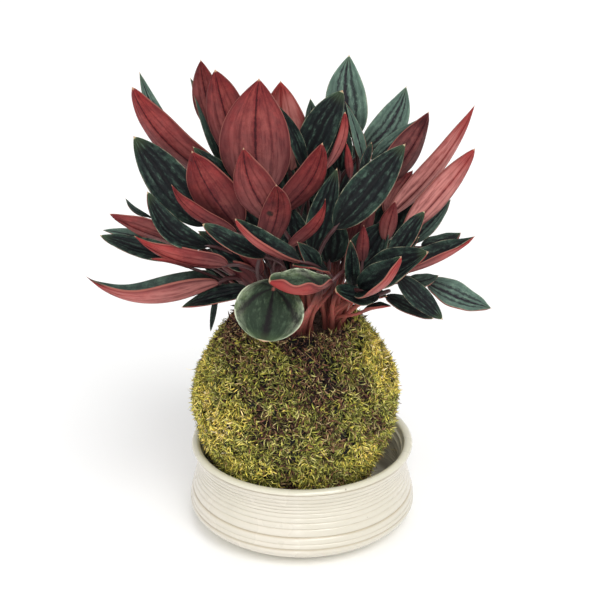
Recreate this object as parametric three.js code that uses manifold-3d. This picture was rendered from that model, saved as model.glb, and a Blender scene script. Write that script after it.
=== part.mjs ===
// Kokedama: a red-backed peperomia that grows from a ball of moss, which rests in a ribbed, glazed dish.
// Millimetres, +Z up. The origin is the centre of the dish's foot, on the table. The front faces -Y.

import * as THREE from 'three';
import { mergeVertices } from 'three/addons/utils/BufferGeometryUtils.js';
import Module from 'manifold-3d';

const wasm = await Module();
wasm.setup();

// ---- driving dimensions ----

const SEGMENTS = 28; // sides of everything that is round about the upright axis
const GAP = 0.3; // between pieces that touch

const DISH = {
  height: 43.8,
  footRadius: 41,
  bellyRadius: 59.2,
  bellyHeight: 10,
  waistRadius: 55.1,
  waistHeight: 32,
  rimRadius: 57.5,
  wall: 4.2,
  floor: 5,
  footRoundness: 1.5,
};
const GROOVES = [11.9, 14.3, 17.7, 21.8, 24.8, 27.5, 29.8, 31.6, 33.4, 35.5, 38, 40.7]; // heights
const GROOVE_DEPTH = 0.7;
const DEEP_GROOVE = { height: 17.7, depth: 1.5 };
const NARROW_RIB = 3;
const INNER_RIBS = 3;
const INNER_RIB_DEPTH = 0.6;
const BOWL = { radius: 52, bend: 49, flat: 46 }; // where the inside wall rounds in to its floor

const BALL = {
  x: -3, // it sits a little to the left in its dish
  radius: 53,
  widest: 70, // height of its widest ring
  crownReach: 64, // the shoulders taper as if to a point this far above the widest ring
  footReach: 70, // and the lower half rounds in over this distance
  shoulder: 111, // where the moss turns in to its opening
  top: 114.5,
  mouthRadius: 30.5,
  mossDepth: 8,
  mossDepthAtMouth: 3.5,
  thinningFrom: 90, // height above which the moss grows thinner
};
const SOIL = { top: 110.5, edge: 108.5 };

const STEM = {
  foot: 99,
  top: 108.5,
  radius: 7.8,
  sides: 10,
  leafRoots: 106.5, // height where the stalks start, inside the stem
  rootSpread: 5.4,
  clearance: 0.8, // between the stem and its hole in the soil
};
const STEM_PLACES = {
  centre: [0, 0],
  front: [0, -18],
  front_left: [-15.5, -9],
  back_left: [-15.5, 9],
  front_right: [15.5, -9],
  back_right: [15.5, 9],
  back: [0, 18],
};
const GOLDEN_ANGLE = 137.508;

const STALK = { radius: 0.7, radiusPerWidth: 0.027, taper: 0.2, bend: 0.35, meets: 0.97 };
const STEEP = 1.1; // a leaf whose joint stands steeper than this over its root has a straight stalk

const BLADE_THICKNESS = 0.8;
const BLADE_FULLNESS = 0.6; // how fast a blade widens from its joint
const BLADE_RINGS = [0.12, 0.36, 0.6, 0.82];
const SMALL_BLADE_RINGS = [0.2, 0.45, 0.75];
const SMALL_BLADE = 13.5; // a leaf narrower than this needs fewer rings
const ROUND_BLADE_RINGS = [0.04, 0.16, 0.35, 0.55, 0.75, 0.9, 0.97];
const ROUND_POINT = 0.7; // a leaf with a smaller point than this is round

// Leaves that the front shows, by the stem that bears them. Each row is the tip, the joint with the stalk,
// the width, the turn of the upper face (0 front, 90 up, 180 back), the arch of the midrib, the fold of the
// two halves in degrees, how pointed the blade is, and how far its midrib bends to its side.
const FRONT_LEAVES = {
  centre: [
    [[-10, 2, 230], [-6, 8, 185], 25, 150, 1.6, 15, 0.98, 1.2],
    [[19, 4, 225], [0, -2, 186], 17, 25, 2, 12, 0.69, -1.4],
    [[20, -6, 217], [10, -10, 190], 5.1, 150, 1.7, 15, 0.56, -3.9],
    [[21, -4, 202], [23, -6, 185], 4, 150, 1, 20, 1, 0],
    [[-12, -10, 222], [1, -12, 192], 7, 30, 2, 15, 1, 1.5],
    [[4, 10, 220], [8, 8, 195], 10.3, 30, 2, 15, 0.99, -0.6],
    [[-8, -19, 179], [-2, -19, 148], 17, 40, 2, 15, 1, 0],
    [[-50, -19, 204], [-31, -18, 176], 15, 40, 2, 15, 1, 0],
    [[-37, -22, 184], [-21, -22, 157], 18, 45, 2, 15, 1, 0],
    [[14, -14, 175], [13, -18, 147], 18, 30, 2, 15, 1, 0],
    [[19, 7, 212], [18, 3, 186], 12, 35, 2, 15, 1, 0],
  ],
  front_left: [
    [[-39, -18, 239], [-27, -10, 191], 20.3, 150, 3, 15, 0.81, 2],
    [[-76, -22, 232], [-34, -8, 183], 19.1, 145, 2.4, 18, 0.77, 9.9],
    [[-78, -12, 207], [-45, -22, 167], 21, 35, 3.3, 15, 0.8, -1.5],
    [[-25, -56, 213], [-10, -44, 174], 19.8, 155, 1.8, 15, 1, 4.4],
    [[-48, -46, 209], [-29, -32, 169], 23.1, 150, 2.1, 15, 0.97, 3.3],
    [[-57, -50, 195], [-30, -36, 168], 9, 145, 1.8, 15, 1.14, 6.5],
    [[-56, -40, 133], [-24, -34, 139], 11.7, 65, 0, 20, 0.94, 0.5],
    [[-102, -26, 143], [-39, -34, 143], 27.3, 95, -8, 46, 1.5, -9.9],
    [[-75, -46, 170], [-34, -40, 154], 16.8, 140, -0.6, 18, 1.2, 7],
    [[-96, -16, 160], [-53, -26, 152], 12, 55, 1, 15, 0.8, -2],
    [[-96, -8, 160], [-73, -14, 157], 6, 55, 1, 15, 1, 0],
    [[-90, -20, 172], [-55, -22, 158], 16.1, 145, 0.4, 15, 0.9, 2.8],
    [[-70, -34, 187], [-43, -34, 161], 12.4, 45, 0.7, 20, 0.76, -6.5],
    [[-43, -60, 180], [-16, -54, 163], 9.6, 50, 1, 15, 0.6, -2.1],
    [[-69, -40, 157], [-51, -36, 151], 7, 120, 1, 20, 1, 1],
    [[-37, -30, 162], [-19, -30, 145], 13, 140, 2, 15, 1, 0],
    [[-48, -30, 167], [-25, -26, 147], 14, 40, 2, 15, 1, 0],
    [[-40, -31, 152], [-22, -29, 138], 14, 140, 2, 15, 1, 0],
  ],
  back_left: [
    [[-78, 18, 231], [-59, 10, 191], 9, 40, 2, 20, 1, -2],
    [[-46, -10, 242], [-36, 0, 201], 16.3, 150, 3, 15, 0.94, 3.2],
    [[-85, -2, 174], [-73, -6, 166], 3, 50, 1.5, 15, 0.81, -2.5],
    [[-52, 0, 232], [-38, 6, 189], 8.6, 40, 2, 15, 1, 0.5],
    [[-51, -6, 145], [-28, -4, 130], 15, 40, 2, 15, 1, 0],
    [[-46, -4, 105], [-42, -6, 128], 3, 20, 1, 10, 0.8, 0],
  ],
  front: [
    [[-19, -28, 237], [-19, -30, 184], 33.8, 165, 4.9, 14, 0.94, 2.2],
    [[9, -36, 210], [-13, -28, 174], 15.3, 150, 2.9, 18, 0.84, -6.7],
    [[16, -24, 195], [5, -31, 157], 14, 40, 2, 20, 0.9, 0],
    [[-11, -64, 199], [-18, -46, 162], 14, 150, 4, 15, 0.92, -3.5],
    [[10, -58, 191], [-6, -44, 164], 7.2, 145, 1.5, 20, 1.43, -4.8],
    [[-14, -74, 159], [13, -66, 156], 21.4, 85, -4.3, 43, 0.56, -2.7],
    [[-4, -62, 162], [12, -50, 154], 12, 65, 2, 20, 0.9, 0],
    [[-17, -70, 129], [-12, -56, 153], 31.2, 25, 2, 6, 0.54, -0.3],
    [[-28, -74, 187], [-1, -60, 163], 15.2, 69, -5.3, 42, 0.85, 1.2],
    [[-2, -60, 172], [7, -52, 156], 9, 40, 1, 20, 1, 0],
  ],
  front_right: [
    [[80, -15, 202], [48, -18, 162], 14.4, 155, 3.6, 15, 0.78, -3.9],
    [[47, -22, 206], [15, -38, 171], 18.6, 35, 3.4, 14, 0.87, 1.1],
    [[56, -32, 177], [40, -36, 153], 9.9, 50, 2, 15, 0.71, 0.2],
    [[81, -23, 162], [47, -29, 146], 18.4, 81, -1.6, 48, 1.1, 1.8],
    [[55, -62, 168], [27, -46, 149], 20, 50, 0.5, 15, 0.82, 1.9],
    [[42, -76, 171], [26, -57, 148], 21.5, 53, -3.1, 47, 0.92, 3.9],
    [[64, -52, 132], [44, -42, 149], 11.3, 50, 0.9, 12, 0.76, 0.9],
    [[61, -42, 128], [39, -36, 137], 8.9, 60, 0, 12, 0.8, 0],
    [[65, -22, 142], [50, -26, 140], 8.5, 60, 0.5, 15, 1.01, 1.7],
    [[41, -46, 136], [28, -34, 128], 7, 80, 1, 25, 1, 0],
    [[28, -40, 173], [28, -34, 153], 6, 150, 1, 20, 1, 0],
    [[21, -64, 174], [23, -50, 147], 7.6, 25, 0.5, 25, 0.8, 0.1],
    [[15, -62, 150], [35, -52, 144], 12.2, 60, -1.9, 15, 0.5, -1.3],
    [[39, -44, 140], [25, -36, 136], 12, 60, 2, 20, 0.9, 0],
    [[43, -26, 180], [39, -24, 160], 9, 140, 1, 20, 1, 0],
    [[56, -13, 158], [39, -17, 146], 13, 50, 2, 15, 1, 0],
    [[41, -20, 169], [25, -22, 144], 19, 40, 2, 15, 1, 0],
  ],
  back_right: [
    [[23, 30, 237], [25, 14, 200], 21.2, 25, 3.2, 18, 0.98, -3],
    [[52, 38, 220], [30, 20, 191], 17, 30, 2.9, 18, 0.98, 4],
    [[21, 16, 217], [30, 10, 189], 5.9, 20, 1, 15, 1.15, 0.8],
    [[57, 12, 210], [34, 10, 189], 9.2, 40, 1, 15, 1.09, 0.6],
    [[60, 4, 215], [38, 0, 180], 17.5, 150, 2.3, 20, 0.95, -3.9],
    [[81, 0, 219], [41, -8, 167], 12.8, 150, 2.9, 18, 1.02, -6.5],
    [[33, 0, 201], [28, -4, 185], 4.5, 50, 1, 20, 0.67, 0.1],
    [[72, 0, 173], [51, -8, 153], 10.2, 50, 1.9, 15, 1.04, 1.7],
    [[76, -12, 160], [57, -16, 154], 11, 70, 0.5, 20, 0.94, 3.5],
    [[93, -12, 121], [61, -12, 134], 15.9, 55, 0.9, 15, 1, 2.1],
    [[35, -8, 183], [24, -12, 151], 16, 140, 2, 15, 1, 0],
    [[54, 9, 185], [42, 3, 163], 13, 150, 2, 15, 1, 0],
    [[58, 12, 182], [39, 6, 152], 18, 40, 2, 15, 1, 0],
  ],
  back: [
    [[-1, 24, 149], [0, 21, 122], 30, 20, 2, 10, 0.8, 0],
  ],
};

// Leaves of the back, in tiers from the lowest and flattest to the uprights. Bearings run from the right (0)
// over the back (90) to the left (180); reach and height place the joint, lean is from upright.
const BACK_TIERS = [
  { count: 7, from: 24, to: 156, lean: 84, length: 52, width: 21, reach: 38, height: 126 },
  { count: 7, from: 30, to: 166, lean: 64, length: 56, width: 23, reach: 34, height: 143 },
  { count: 6, from: 48, to: 162, lean: 40, length: 54, width: 23, reach: 30, height: 158 },
  { count: 4, from: 50, to: 130, lean: 16, length: 48, width: 22, reach: 18, height: 162 },
];
const BACK_SEED = 1;
const BACK_SECTOR = [62, 118]; // bearings that the middle one of the three back stems bears

// ---- solids ----

// A geometry with its positions only, each corner shared by the faces that meet there.
function welded(geometry, tolerance) {
  const bare = new THREE.BufferGeometry();
  bare.setAttribute('position', geometry.getAttribute('position'));
  bare.setIndex(geometry.getIndex());
  return mergeVertices(bare, tolerance);
}

function toSolid(geometry) {
  const merged = welded(geometry, 1e-4);
  const corners = merged.getIndex().array;
  const triangles = [];
  for (let i = 0; i < corners.length; i += 3) {
    const [a, b, c] = corners.slice(i, i + 3);
    if (a !== b && b !== c && c !== a) triangles.push(a, b, c);
  }
  return solidOf(merged.getAttribute('position').array, triangles);
}

function solidOf(positions, triangles) {
  return new wasm.Manifold(
    new wasm.Mesh({
      numProp: 3,
      vertProperties: Float32Array.from(positions),
      triVerts: Uint32Array.from(triangles),
    }),
  );
}

function namedMesh(name, solid, material) {
  const { vertProperties, triVerts } = solid.getMesh();
  const geometry = new THREE.BufferGeometry();
  geometry.setAttribute('position', new THREE.BufferAttribute(Float32Array.from(vertProperties), 3));
  geometry.setIndex(new THREE.BufferAttribute(Uint32Array.from(triVerts), 1));
  geometry.computeVertexNormals();
  const mesh = new THREE.Mesh(geometry, material);
  mesh.name = name;
  return mesh;
}

// Spins an outline of [radius, height] points, from the axis round the outside and back to the axis.
function spun(outline, bump = () => 0) {
  const points = outline.map(([r, z]) => new THREE.Vector2(r, z));
  const lathe = new THREE.LatheGeometry(points, SEGMENTS).rotateX(Math.PI / 2);
  const merged = welded(lathe, 1e-3);
  const place = merged.getAttribute('position');
  for (let i = 0; i < place.count; i += 1) {
    const [x, y, z] = [place.getX(i), place.getY(i), place.getZ(i)];
    const r = Math.hypot(x, y);
    if (r < 1) continue;
    const grown = 1 + bump(Math.atan2(y, x), z, r) / r;
    place.setXY(i, x * grown, y * grown);
  }
  return toSolid(merged);
}

const ease = (t) => 0.5 - 0.5 * Math.cos(Math.PI * t);

// ---- dish ----

function dishRadius(z) {
  const { footRadius, bellyRadius, bellyHeight, waistRadius, waistHeight, rimRadius, height } = DISH;
  if (z < bellyHeight) {
    const below = (bellyHeight - z) / bellyHeight;
    const round = (1 - below ** DISH.footRoundness) ** (1 / DISH.footRoundness);
    return footRadius + (bellyRadius - footRadius) * round;
  }
  if (z < waistHeight) {
    return bellyRadius + (waistRadius - bellyRadius) * ease((z - bellyHeight) / (waistHeight - bellyHeight));
  }
  return waistRadius + (rimRadius - waistRadius) * ease((z - waistHeight) / (height - waistHeight));
}

// Each groove is cut into the wall, and the rib above it crowns once, or twice if it is broad.
function ribbedWall() {
  const outline = [];
  GROOVES.forEach((z, i) => {
    const deep = z === DEEP_GROOVE.height;
    outline.push([dishRadius(z) - (deep ? DEEP_GROOVE.depth : GROOVE_DEPTH), z]);
    const above = GROOVES[i + 1];
    if (above === undefined) return;
    const crowns = above - z < NARROW_RIB ? [0.5] : [0.25, 0.75];
    crowns.forEach((share) => {
      const at = z + share * (above - z);
      outline.push([dishRadius(at), at]);
    });
  });
  return outline;
}

function dishOutline() {
  const { height, wall, floor, footRadius, rimRadius } = DISH;
  const foot = [1.5, 4, 7].map((z) => [dishRadius(z), z]);
  const lip = [
    [rimRadius - 0.3, height - 2],
    [rimRadius, height - 1],
    [rimRadius - 0.9, height - 0.2],
    [rimRadius - 2, height],
    [rimRadius - 3.4, height - 0.4],
    [rimRadius - 4.2, height - 1.8],
  ];
  const inside = [];
  const low = floor + 6;
  for (let i = 0; i <= 2 * INNER_RIBS; i += 1) {
    const z = height - 4 - ((height - 4 - low) * i) / (2 * INNER_RIBS);
    inside.push([dishRadius(z) - wall - (i % 2 ? INNER_RIB_DEPTH : 0), z]);
  }
  const bowl = [
    [BOWL.radius, floor + 2.5],
    [BOWL.bend, floor + 0.5],
    [BOWL.flat, floor],
    [0, floor],
  ];
  return [[0, 0], [footRadius, 0], ...foot, ...ribbedWall(), ...lip, ...inside, ...bowl];
}

// ---- ball of moss round its soil ----

function ballRadius(z) {
  const { radius, widest, crownReach, footReach } = BALL;
  if (z > widest) return radius * (1 - ((z - widest) / crownReach) ** 1.55) ** 0.7;
  return radius * (1 - ((widest - z) / footReach) ** 1.8) ** (1 / 1.8);
}

// Tufts: a few broad swells and smaller lumps between them.
function tufts(angle, z) {
  const broad = 1.1 * Math.sin(3 * angle + 0.06 * z) * Math.cos(0.09 * z + 2 * angle);
  const small = 0.7 * Math.sin(8 * angle - 0.11 * z) * Math.sin(0.23 * z + 3 * angle);
  return broad + small;
}

function mossDepth(z) {
  const { mossDepth: full, mossDepthAtMouth: thin, thinningFrom, shoulder } = BALL;
  const share = THREE.MathUtils.clamp((z - thinningFrom) / (shoulder - thinningFrom), 0, 1);
  return full + (thin - full) * share;
}

function heights(from, to, count) {
  return Array.from({ length: count + 1 }, (_, i) => from + ((to - from) * i) / count);
}

function mossOutline() {
  const { shoulder, top, mouthRadius } = BALL;
  const rest = DISH.floor + GAP;
  const outside = [0, ...heights(1.5, shoulder - rest, 12)].map((up) => [ballRadius(rest + up), rest + up]);
  const mouth = [
    [ballRadius(shoulder) - 1.2, top - 0.8],
    [mouthRadius + 0.8, top],
    [mouthRadius, top - 2],
  ];
  const low = rest + BALL.mossDepth;
  const inside = heights(SOIL.edge - 1, low + 2, 4).map((z) => [ballRadius(z) - mossDepth(z), z]);
  return [[0, rest], ...outside, ...mouth, ...inside, [0, low]];
}

function soilOutline() {
  const foot = DISH.floor + GAP + BALL.mossDepth + GAP;
  const side = heights(foot + 2, SOIL.edge - 1, 4).map((z) => [ballRadius(z) - mossDepth(z) - 2 * GAP, z]);
  return [[0, foot], ...side, [BALL.mouthRadius - 2, SOIL.edge], [0, SOIL.top]];
}

const outsideOnly = (angle, z, r) => (r > ballRadius(z) - 2 && z > DISH.floor + 1 ? tufts(angle, z) : 0);

function soilHole([x, y]) {
  const wide = STEM.radius + STEM.clearance;
  const depth = SOIL.top + 3 - (STEM.foot - GAP);
  const hole = new THREE.CylinderGeometry(wide, wide, depth, STEM.sides);
  hole.rotateX(Math.PI / 2).translate(x, y, STEM.foot - GAP + depth / 2);
  return toSolid(hole);
}

// ---- leaves ----

// A leaf's own directions: along from joint to tip, up out of its upper face, side across it.
function leafFrame(leaf) {
  const chord = leaf.tip.clone().sub(leaf.base);
  const length = chord.length();
  const along = chord.divideScalar(length);
  const up = leaf.face.clone().addScaledVector(along, -leaf.face.dot(along)).normalize();
  return { length, along, up, side: along.clone().cross(up) };
}

function bladeShare(s, point) {
  const widest = BLADE_FULLNESS / (BLADE_FULLNESS + point);
  return (s ** BLADE_FULLNESS * (1 - s) ** point) / (widest ** BLADE_FULLNESS * (1 - widest) ** point);
}

// One folded section of the blade: edge, midrib, edge on the upper face, then the same on the lower.
function bladeRing(leaf, frame, s) {
  const { length, along, up, side } = frame;
  const bend = 4 * s * (1 - s);
  const rise = (leaf.bow * 4 * (1 - 2 * s)) / length;
  const out = up.clone().addScaledVector(along, -rise).normalize();
  const middle = leaf.base.clone().addScaledVector(along, length * s);
  middle.addScaledVector(up, leaf.bow * bend).addScaledVector(side, leaf.sway * bend);
  const half = (leaf.width / 2) * bladeShare(s, leaf.point);
  const fold = THREE.MathUtils.degToRad(leaf.cup);
  const edge = (way) =>
    middle
      .clone()
      .addScaledVector(side, way * half * Math.cos(fold))
      .addScaledVector(up, half * Math.sin(fold));
  const upper = [edge(-1), middle, edge(1)];
  return [...upper, ...upper.map((p) => p.clone().addScaledVector(out, -BLADE_THICKNESS))];
}

// A six-sided section of the stalk, in the blade ring's order.
function stalkRing(centre, direction, side, radius) {
  const across = side.clone().addScaledVector(direction, -side.dot(direction)).normalize();
  const out = across.clone().cross(direction);
  return [150, 90, 30, 210, 270, 330].map((degrees) => {
    const turn = THREE.MathUtils.degToRad(degrees);
    return centre
      .clone()
      .addScaledVector(across, radius * Math.cos(turn))
      .addScaledVector(out, radius * Math.sin(turn));
  });
}

// The stalk leaves the stem upwards and meets the blade along its midrib.
function stalkCurve(leaf, frame, root) {
  const outward = leaf.base.clone().sub(root).setZ(0);
  const reach = leaf.base.distanceTo(root);
  const arrive = frame.along.clone().addScaledVector(frame.up, (4 * leaf.bow) / frame.length);
  arrive.addScaledVector(frame.side, (4 * leaf.sway) / frame.length).normalize();
  const first = root.clone().addScaledVector(outward, 0.03).setZ(root.z + STALK.bend * reach);
  const second = leaf.base.clone().addScaledVector(arrive, -STALK.bend * reach);
  return new THREE.CubicBezierCurve3(root, first, second, leaf.base);
}

// Joins rings of six corners into one closed solid that ends in a tip.
function loft(rings, tip) {
  const positions = [...rings.flat(), tip].flatMap((p) => [p.x, p.y, p.z]);
  const triangles = [];
  const strips = [[0, 1, false], [1, 2, true], [2, 5, false], [5, 4, true], [4, 3, false], [3, 0, true]];
  for (let ring = 0; ring < rings.length - 1; ring += 1) {
    const near = 6 * ring;
    const far = near + 6;
    for (const [a, b, mirrored] of strips) {
      if (mirrored) triangles.push(near + a, near + b, far + a, near + b, far + b, far + a);
      else triangles.push(near + a, near + b, far + b, near + a, far + b, far + a);
    }
  }
  const last = 6 * (rings.length - 1);
  for (const [a, b] of strips) triangles.push(last + a, last + b, last + 6);
  triangles.push(0, 2, 1, 0, 5, 2, 0, 4, 5, 0, 3, 4);
  return solidOf(positions, triangles);
}

function bladeSteps(leaf) {
  if (leaf.point < ROUND_POINT) return ROUND_BLADE_RINGS;
  return leaf.width < SMALL_BLADE ? SMALL_BLADE_RINGS : BLADE_RINGS;
}

function leafSolid(leaf, root) {
  const frame = leafFrame(leaf);
  const curve = stalkCurve(leaf, frame, root);
  const radius = STALK.radius + leaf.width * STALK.radiusPerWidth;
  const stands = leaf.base.clone().sub(root);
  const steep = stands.z > STEEP * Math.hypot(stands.x, stands.y);
  const stalk = (steep ? [0, STALK.meets] : [0, 0.5, STALK.meets]).map((u) =>
    stalkRing(curve.getPoint(u), curve.getTangent(u), frame.side, radius * (1 - STALK.taper * u)),
  );
  const blade = bladeSteps(leaf).map((s) => bladeRing(leaf, frame, s));
  return loft([...stalk, ...blade], leaf.tip);
}

// A leaf of the front list. Its upper face is turned from the front, over the top, towards the back.
function frontLeaf([tip, base, width, turn, bow, cup, point, sway]) {
  const angle = THREE.MathUtils.degToRad(turn);
  const face = new THREE.Vector3(0, -Math.cos(angle), Math.sin(angle));
  const ends = { tip: new THREE.Vector3(...tip), base: new THREE.Vector3(...base) };
  return { ...ends, face, width, bow, cup, point, sway };
}

// A leaf of the back, which leans out from the middle of the plant by its own small chance.
function backLeaf(tier, share, draw) {
  const { from, to, lean, length, width, reach, height } = tier;
  const bearing = THREE.MathUtils.degToRad(from + (to - from) * share + draw(-4, 4));
  const tilt = THREE.MathUtils.degToRad(lean + draw(-6, 6));
  const shortened = 1 - 0.25 * Math.cos(bearing) ** 2;
  const outward = new THREE.Vector3(Math.cos(bearing), Math.sin(bearing), 0);
  const base = outward.clone().multiplyScalar(reach * shortened);
  base.z = height + draw(-4, 4);
  const along = outward.clone().multiplyScalar(Math.sin(tilt)).setZ(Math.cos(tilt));
  const tip = base.clone().addScaledVector(along, length * shortened * draw(0.9, 1.1));
  const face = outward.clone().multiplyScalar(-Math.cos(tilt)).setZ(Math.sin(tilt));
  face.x += draw(-0.25, 0.25);
  face.y += draw(-0.25, 0.25);
  const shape = { width: width * draw(0.85, 1.1), bow: 4, cup: 16, point: 1.1, sway: 0 };
  return { bearing, leaf: { tip, base, face, ...shape } };
}

function chance(seed) {
  let state = seed;
  return (low, high) => {
    state = (state * 1664525 + 1013904223) % 4294967296;
    return low + ((high - low) * state) / 4294967296;
  };
}

function leavesByStem() {
  const leaves = Object.fromEntries(Object.keys(STEM_PLACES).map((name) => [name, []]));
  for (const [name, rows] of Object.entries(FRONT_LEAVES)) leaves[name].push(...rows.map(frontLeaf));
  const draw = chance(BACK_SEED);
  for (const tier of BACK_TIERS) {
    for (let i = 0; i < tier.count; i += 1) {
      const { bearing, leaf } = backLeaf(tier, i / (tier.count - 1), draw);
      const degrees = THREE.MathUtils.radToDeg(bearing);
      const name = degrees < BACK_SECTOR[0] ? 'back_right' : degrees > BACK_SECTOR[1] ? 'back_left' : 'back';
      leaves[name].push(leaf);
    }
  }
  return leaves;
}

// Leaf roots on a stem's top, in the golden spiral that leaves grow in.
function rootSpiral(count) {
  return Array.from({ length: count }, (_, i) => {
    const turn = THREE.MathUtils.degToRad(i * GOLDEN_ANGLE);
    const out = STEM.rootSpread * Math.sqrt((i + 0.5) / count);
    return new THREE.Vector3(out * Math.cos(turn), out * Math.sin(turn), 0);
  });
}

// Each leaf, the furthest reaching first, takes the free root that lies most towards it.
function rootedLeaves([x, y], leaves) {
  const away = (leaf) => new THREE.Vector3(leaf.base.x - x, leaf.base.y - y, 0);
  const inwards = [...leaves].sort((a, b) => away(b).length() - away(a).length());
  const free = rootSpiral(leaves.length);
  return inwards.map((leaf) => {
    free.sort((a, b) => b.dot(away(leaf)) - a.dot(away(leaf)));
    return leafSolid(leaf, free.shift().add(new THREE.Vector3(x, y, STEM.leafRoots)));
  });
}

// The stalks meet so closely that a speck of air can be left between them: the plant is the largest body.
function largestBody(solid) {
  return solid.decompose().reduce((most, body) => (body.volume() > most.volume() ? body : most));
}

function stemSolid(place, leaves) {
  const { foot, radius, top, sides } = STEM;
  const column = new THREE.CylinderGeometry(radius, radius, top - foot, sides);
  column.rotateX(Math.PI / 2).translate(place[0], place[1], (foot + top) / 2);
  return largestBody(rootedLeaves(place, leaves).reduce((plant, leaf) => plant.add(leaf), toSolid(column)));
}

// ---- the object ----

const MATERIALS = {
  glaze: new THREE.MeshStandardMaterial({ color: 0xefe9dc, roughness: 0.25, metalness: 0 }),
  soil: new THREE.MeshStandardMaterial({ color: 0x2e211a, roughness: 0.95, metalness: 0 }),
  moss: new THREE.MeshStandardMaterial({ color: 0x8a8238, roughness: 0.95, metalness: 0 }),
  leaf: new THREE.MeshStandardMaterial({ color: 0x47423a, roughness: 0.4, metalness: 0 }),
};

const kokedama = new THREE.Group();
kokedama.add(namedMesh('dish', spun(dishOutline()), MATERIALS.glaze));

const soil = Object.values(STEM_PLACES).reduce(
  (core, place) => core.subtract(soilHole([place[0] - BALL.x, place[1]])),
  spun(soilOutline()),
);
const ball = new THREE.Group();
ball.position.x = BALL.x;
ball.add(namedMesh('soil_core', soil, MATERIALS.soil));
ball.add(namedMesh('moss_cover', spun(mossOutline(), outsideOnly), MATERIALS.moss));
kokedama.add(ball);

for (const [name, leaves] of Object.entries(leavesByStem())) {
  kokedama.add(namedMesh(`leafy_stem_${name}`, stemSolid(STEM_PLACES[name], leaves), MATERIALS.leaf));
}

export default kokedama;
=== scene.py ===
"""Kokedama: a red-backed peperomia that grows from a ball of moss, which rests in a ribbed, glazed dish.
Sizes are in millimetres, in the frame's axes: +Z up, the front at -Y, the origin under the dish's foot."""

import math
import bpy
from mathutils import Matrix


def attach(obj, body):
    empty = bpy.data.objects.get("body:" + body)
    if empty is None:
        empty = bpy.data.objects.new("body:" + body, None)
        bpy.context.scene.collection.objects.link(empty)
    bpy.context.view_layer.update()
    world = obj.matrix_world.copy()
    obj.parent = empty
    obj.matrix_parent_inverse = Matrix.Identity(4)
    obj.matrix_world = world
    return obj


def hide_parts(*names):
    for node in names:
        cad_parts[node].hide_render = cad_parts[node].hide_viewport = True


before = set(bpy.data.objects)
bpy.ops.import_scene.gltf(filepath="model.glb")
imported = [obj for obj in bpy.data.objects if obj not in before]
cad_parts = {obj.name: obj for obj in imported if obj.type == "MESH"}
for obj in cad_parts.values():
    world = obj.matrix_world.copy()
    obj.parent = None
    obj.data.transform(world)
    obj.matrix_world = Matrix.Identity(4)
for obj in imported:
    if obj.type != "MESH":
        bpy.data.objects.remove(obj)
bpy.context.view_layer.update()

from types import SimpleNamespace as Named

import bpy
import numpy as np

MM = 0.001

# ---- sizes ----

DISH = Named(height=43.8, foot=41.0, belly=59.2, belly_z=10.0, waist=55.1, waist_z=32.0, rim=57.5, wall=4.2,
             floor=5.0, roundness=1.5, bend=6.0, lip=2.1)
GROOVES = [11.9, 14.3, 17.7, 21.8, 24.8, 27.5, 29.8, 31.6, 33.4, 35.5, 38, 40.7]
GROOVE_DEPTH = 0.7
DEEP_GROOVE = Named(z=17.7, depth=1.5)
INNER_GROOVES = Named(low=11.0, high=38.5, count=9, depth=0.6)
DISH_SEGMENTS = 300

BALL = Named(x=-3.0, radius=53.0, widest=70.0, crown_reach=64.0, foot_reach=70.0, foot=5.3, shoulder=111.0,
             top=114.5, mouth=30.5, moss=8.0, moss_at_mouth=3.5, thinning=90.0)
SOIL = Named(top=110.5, edge=108.5, foot=13.6)

STEM = Named(radius=7.4, top=109.0, depth=9.5, heart=103.0, roots=106.5, spread=5.4, rings=7, sides=28)
STEMS = {"centre": (0, 0), "front": (0, -18), "front_left": (-15.5, -9), "back_left": (-15.5, 9),
         "front_right": (15.5, -9), "back_right": (15.5, 9), "back": (0, 18)}
GOLDEN_ANGLE = math.radians(137.508)
STALK = Named(radius=0.7, per_width=0.027, taper=0.2, bend=0.35, steps=18, sides=10)

FULLNESS = 0.6  # how fast a blade widens from its joint
BLADE_ROWS = 60
BLADE_COLUMNS = 27
BLADE_THICKNESS = 0.95
RIM_THICKNESS = 0.4
VEINS = [0.0, 0.41, 0.74, 1.05]  # share of the half width where a main vein runs
PLEATS = {"long": 0.032, "round": 0.022, "beneath": 0.16}  # rise by width, and its share beneath
ROUND = Named(point=0.6, width=20)  # a blunter and wider leaf than this is round
ROUND_SPREAD = math.radians(125)  # how far its veins spread from its joint,
ROUND_JOINT = 0.16  # which lies this share of its length in from its edge
BLADE_SEED = 100
TOP, UNDERSIDE, STALK_SKIN, STEM_BARK = range(4)  # the materials of a leafy stem
# What every vertex of a leafy stem says, apart from where it lies.
BLADE_LEVELS = dict.fromkeys(["veins", "across", "face", "back", "streaks", "spot", "round", "broad"], 0.0)

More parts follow.
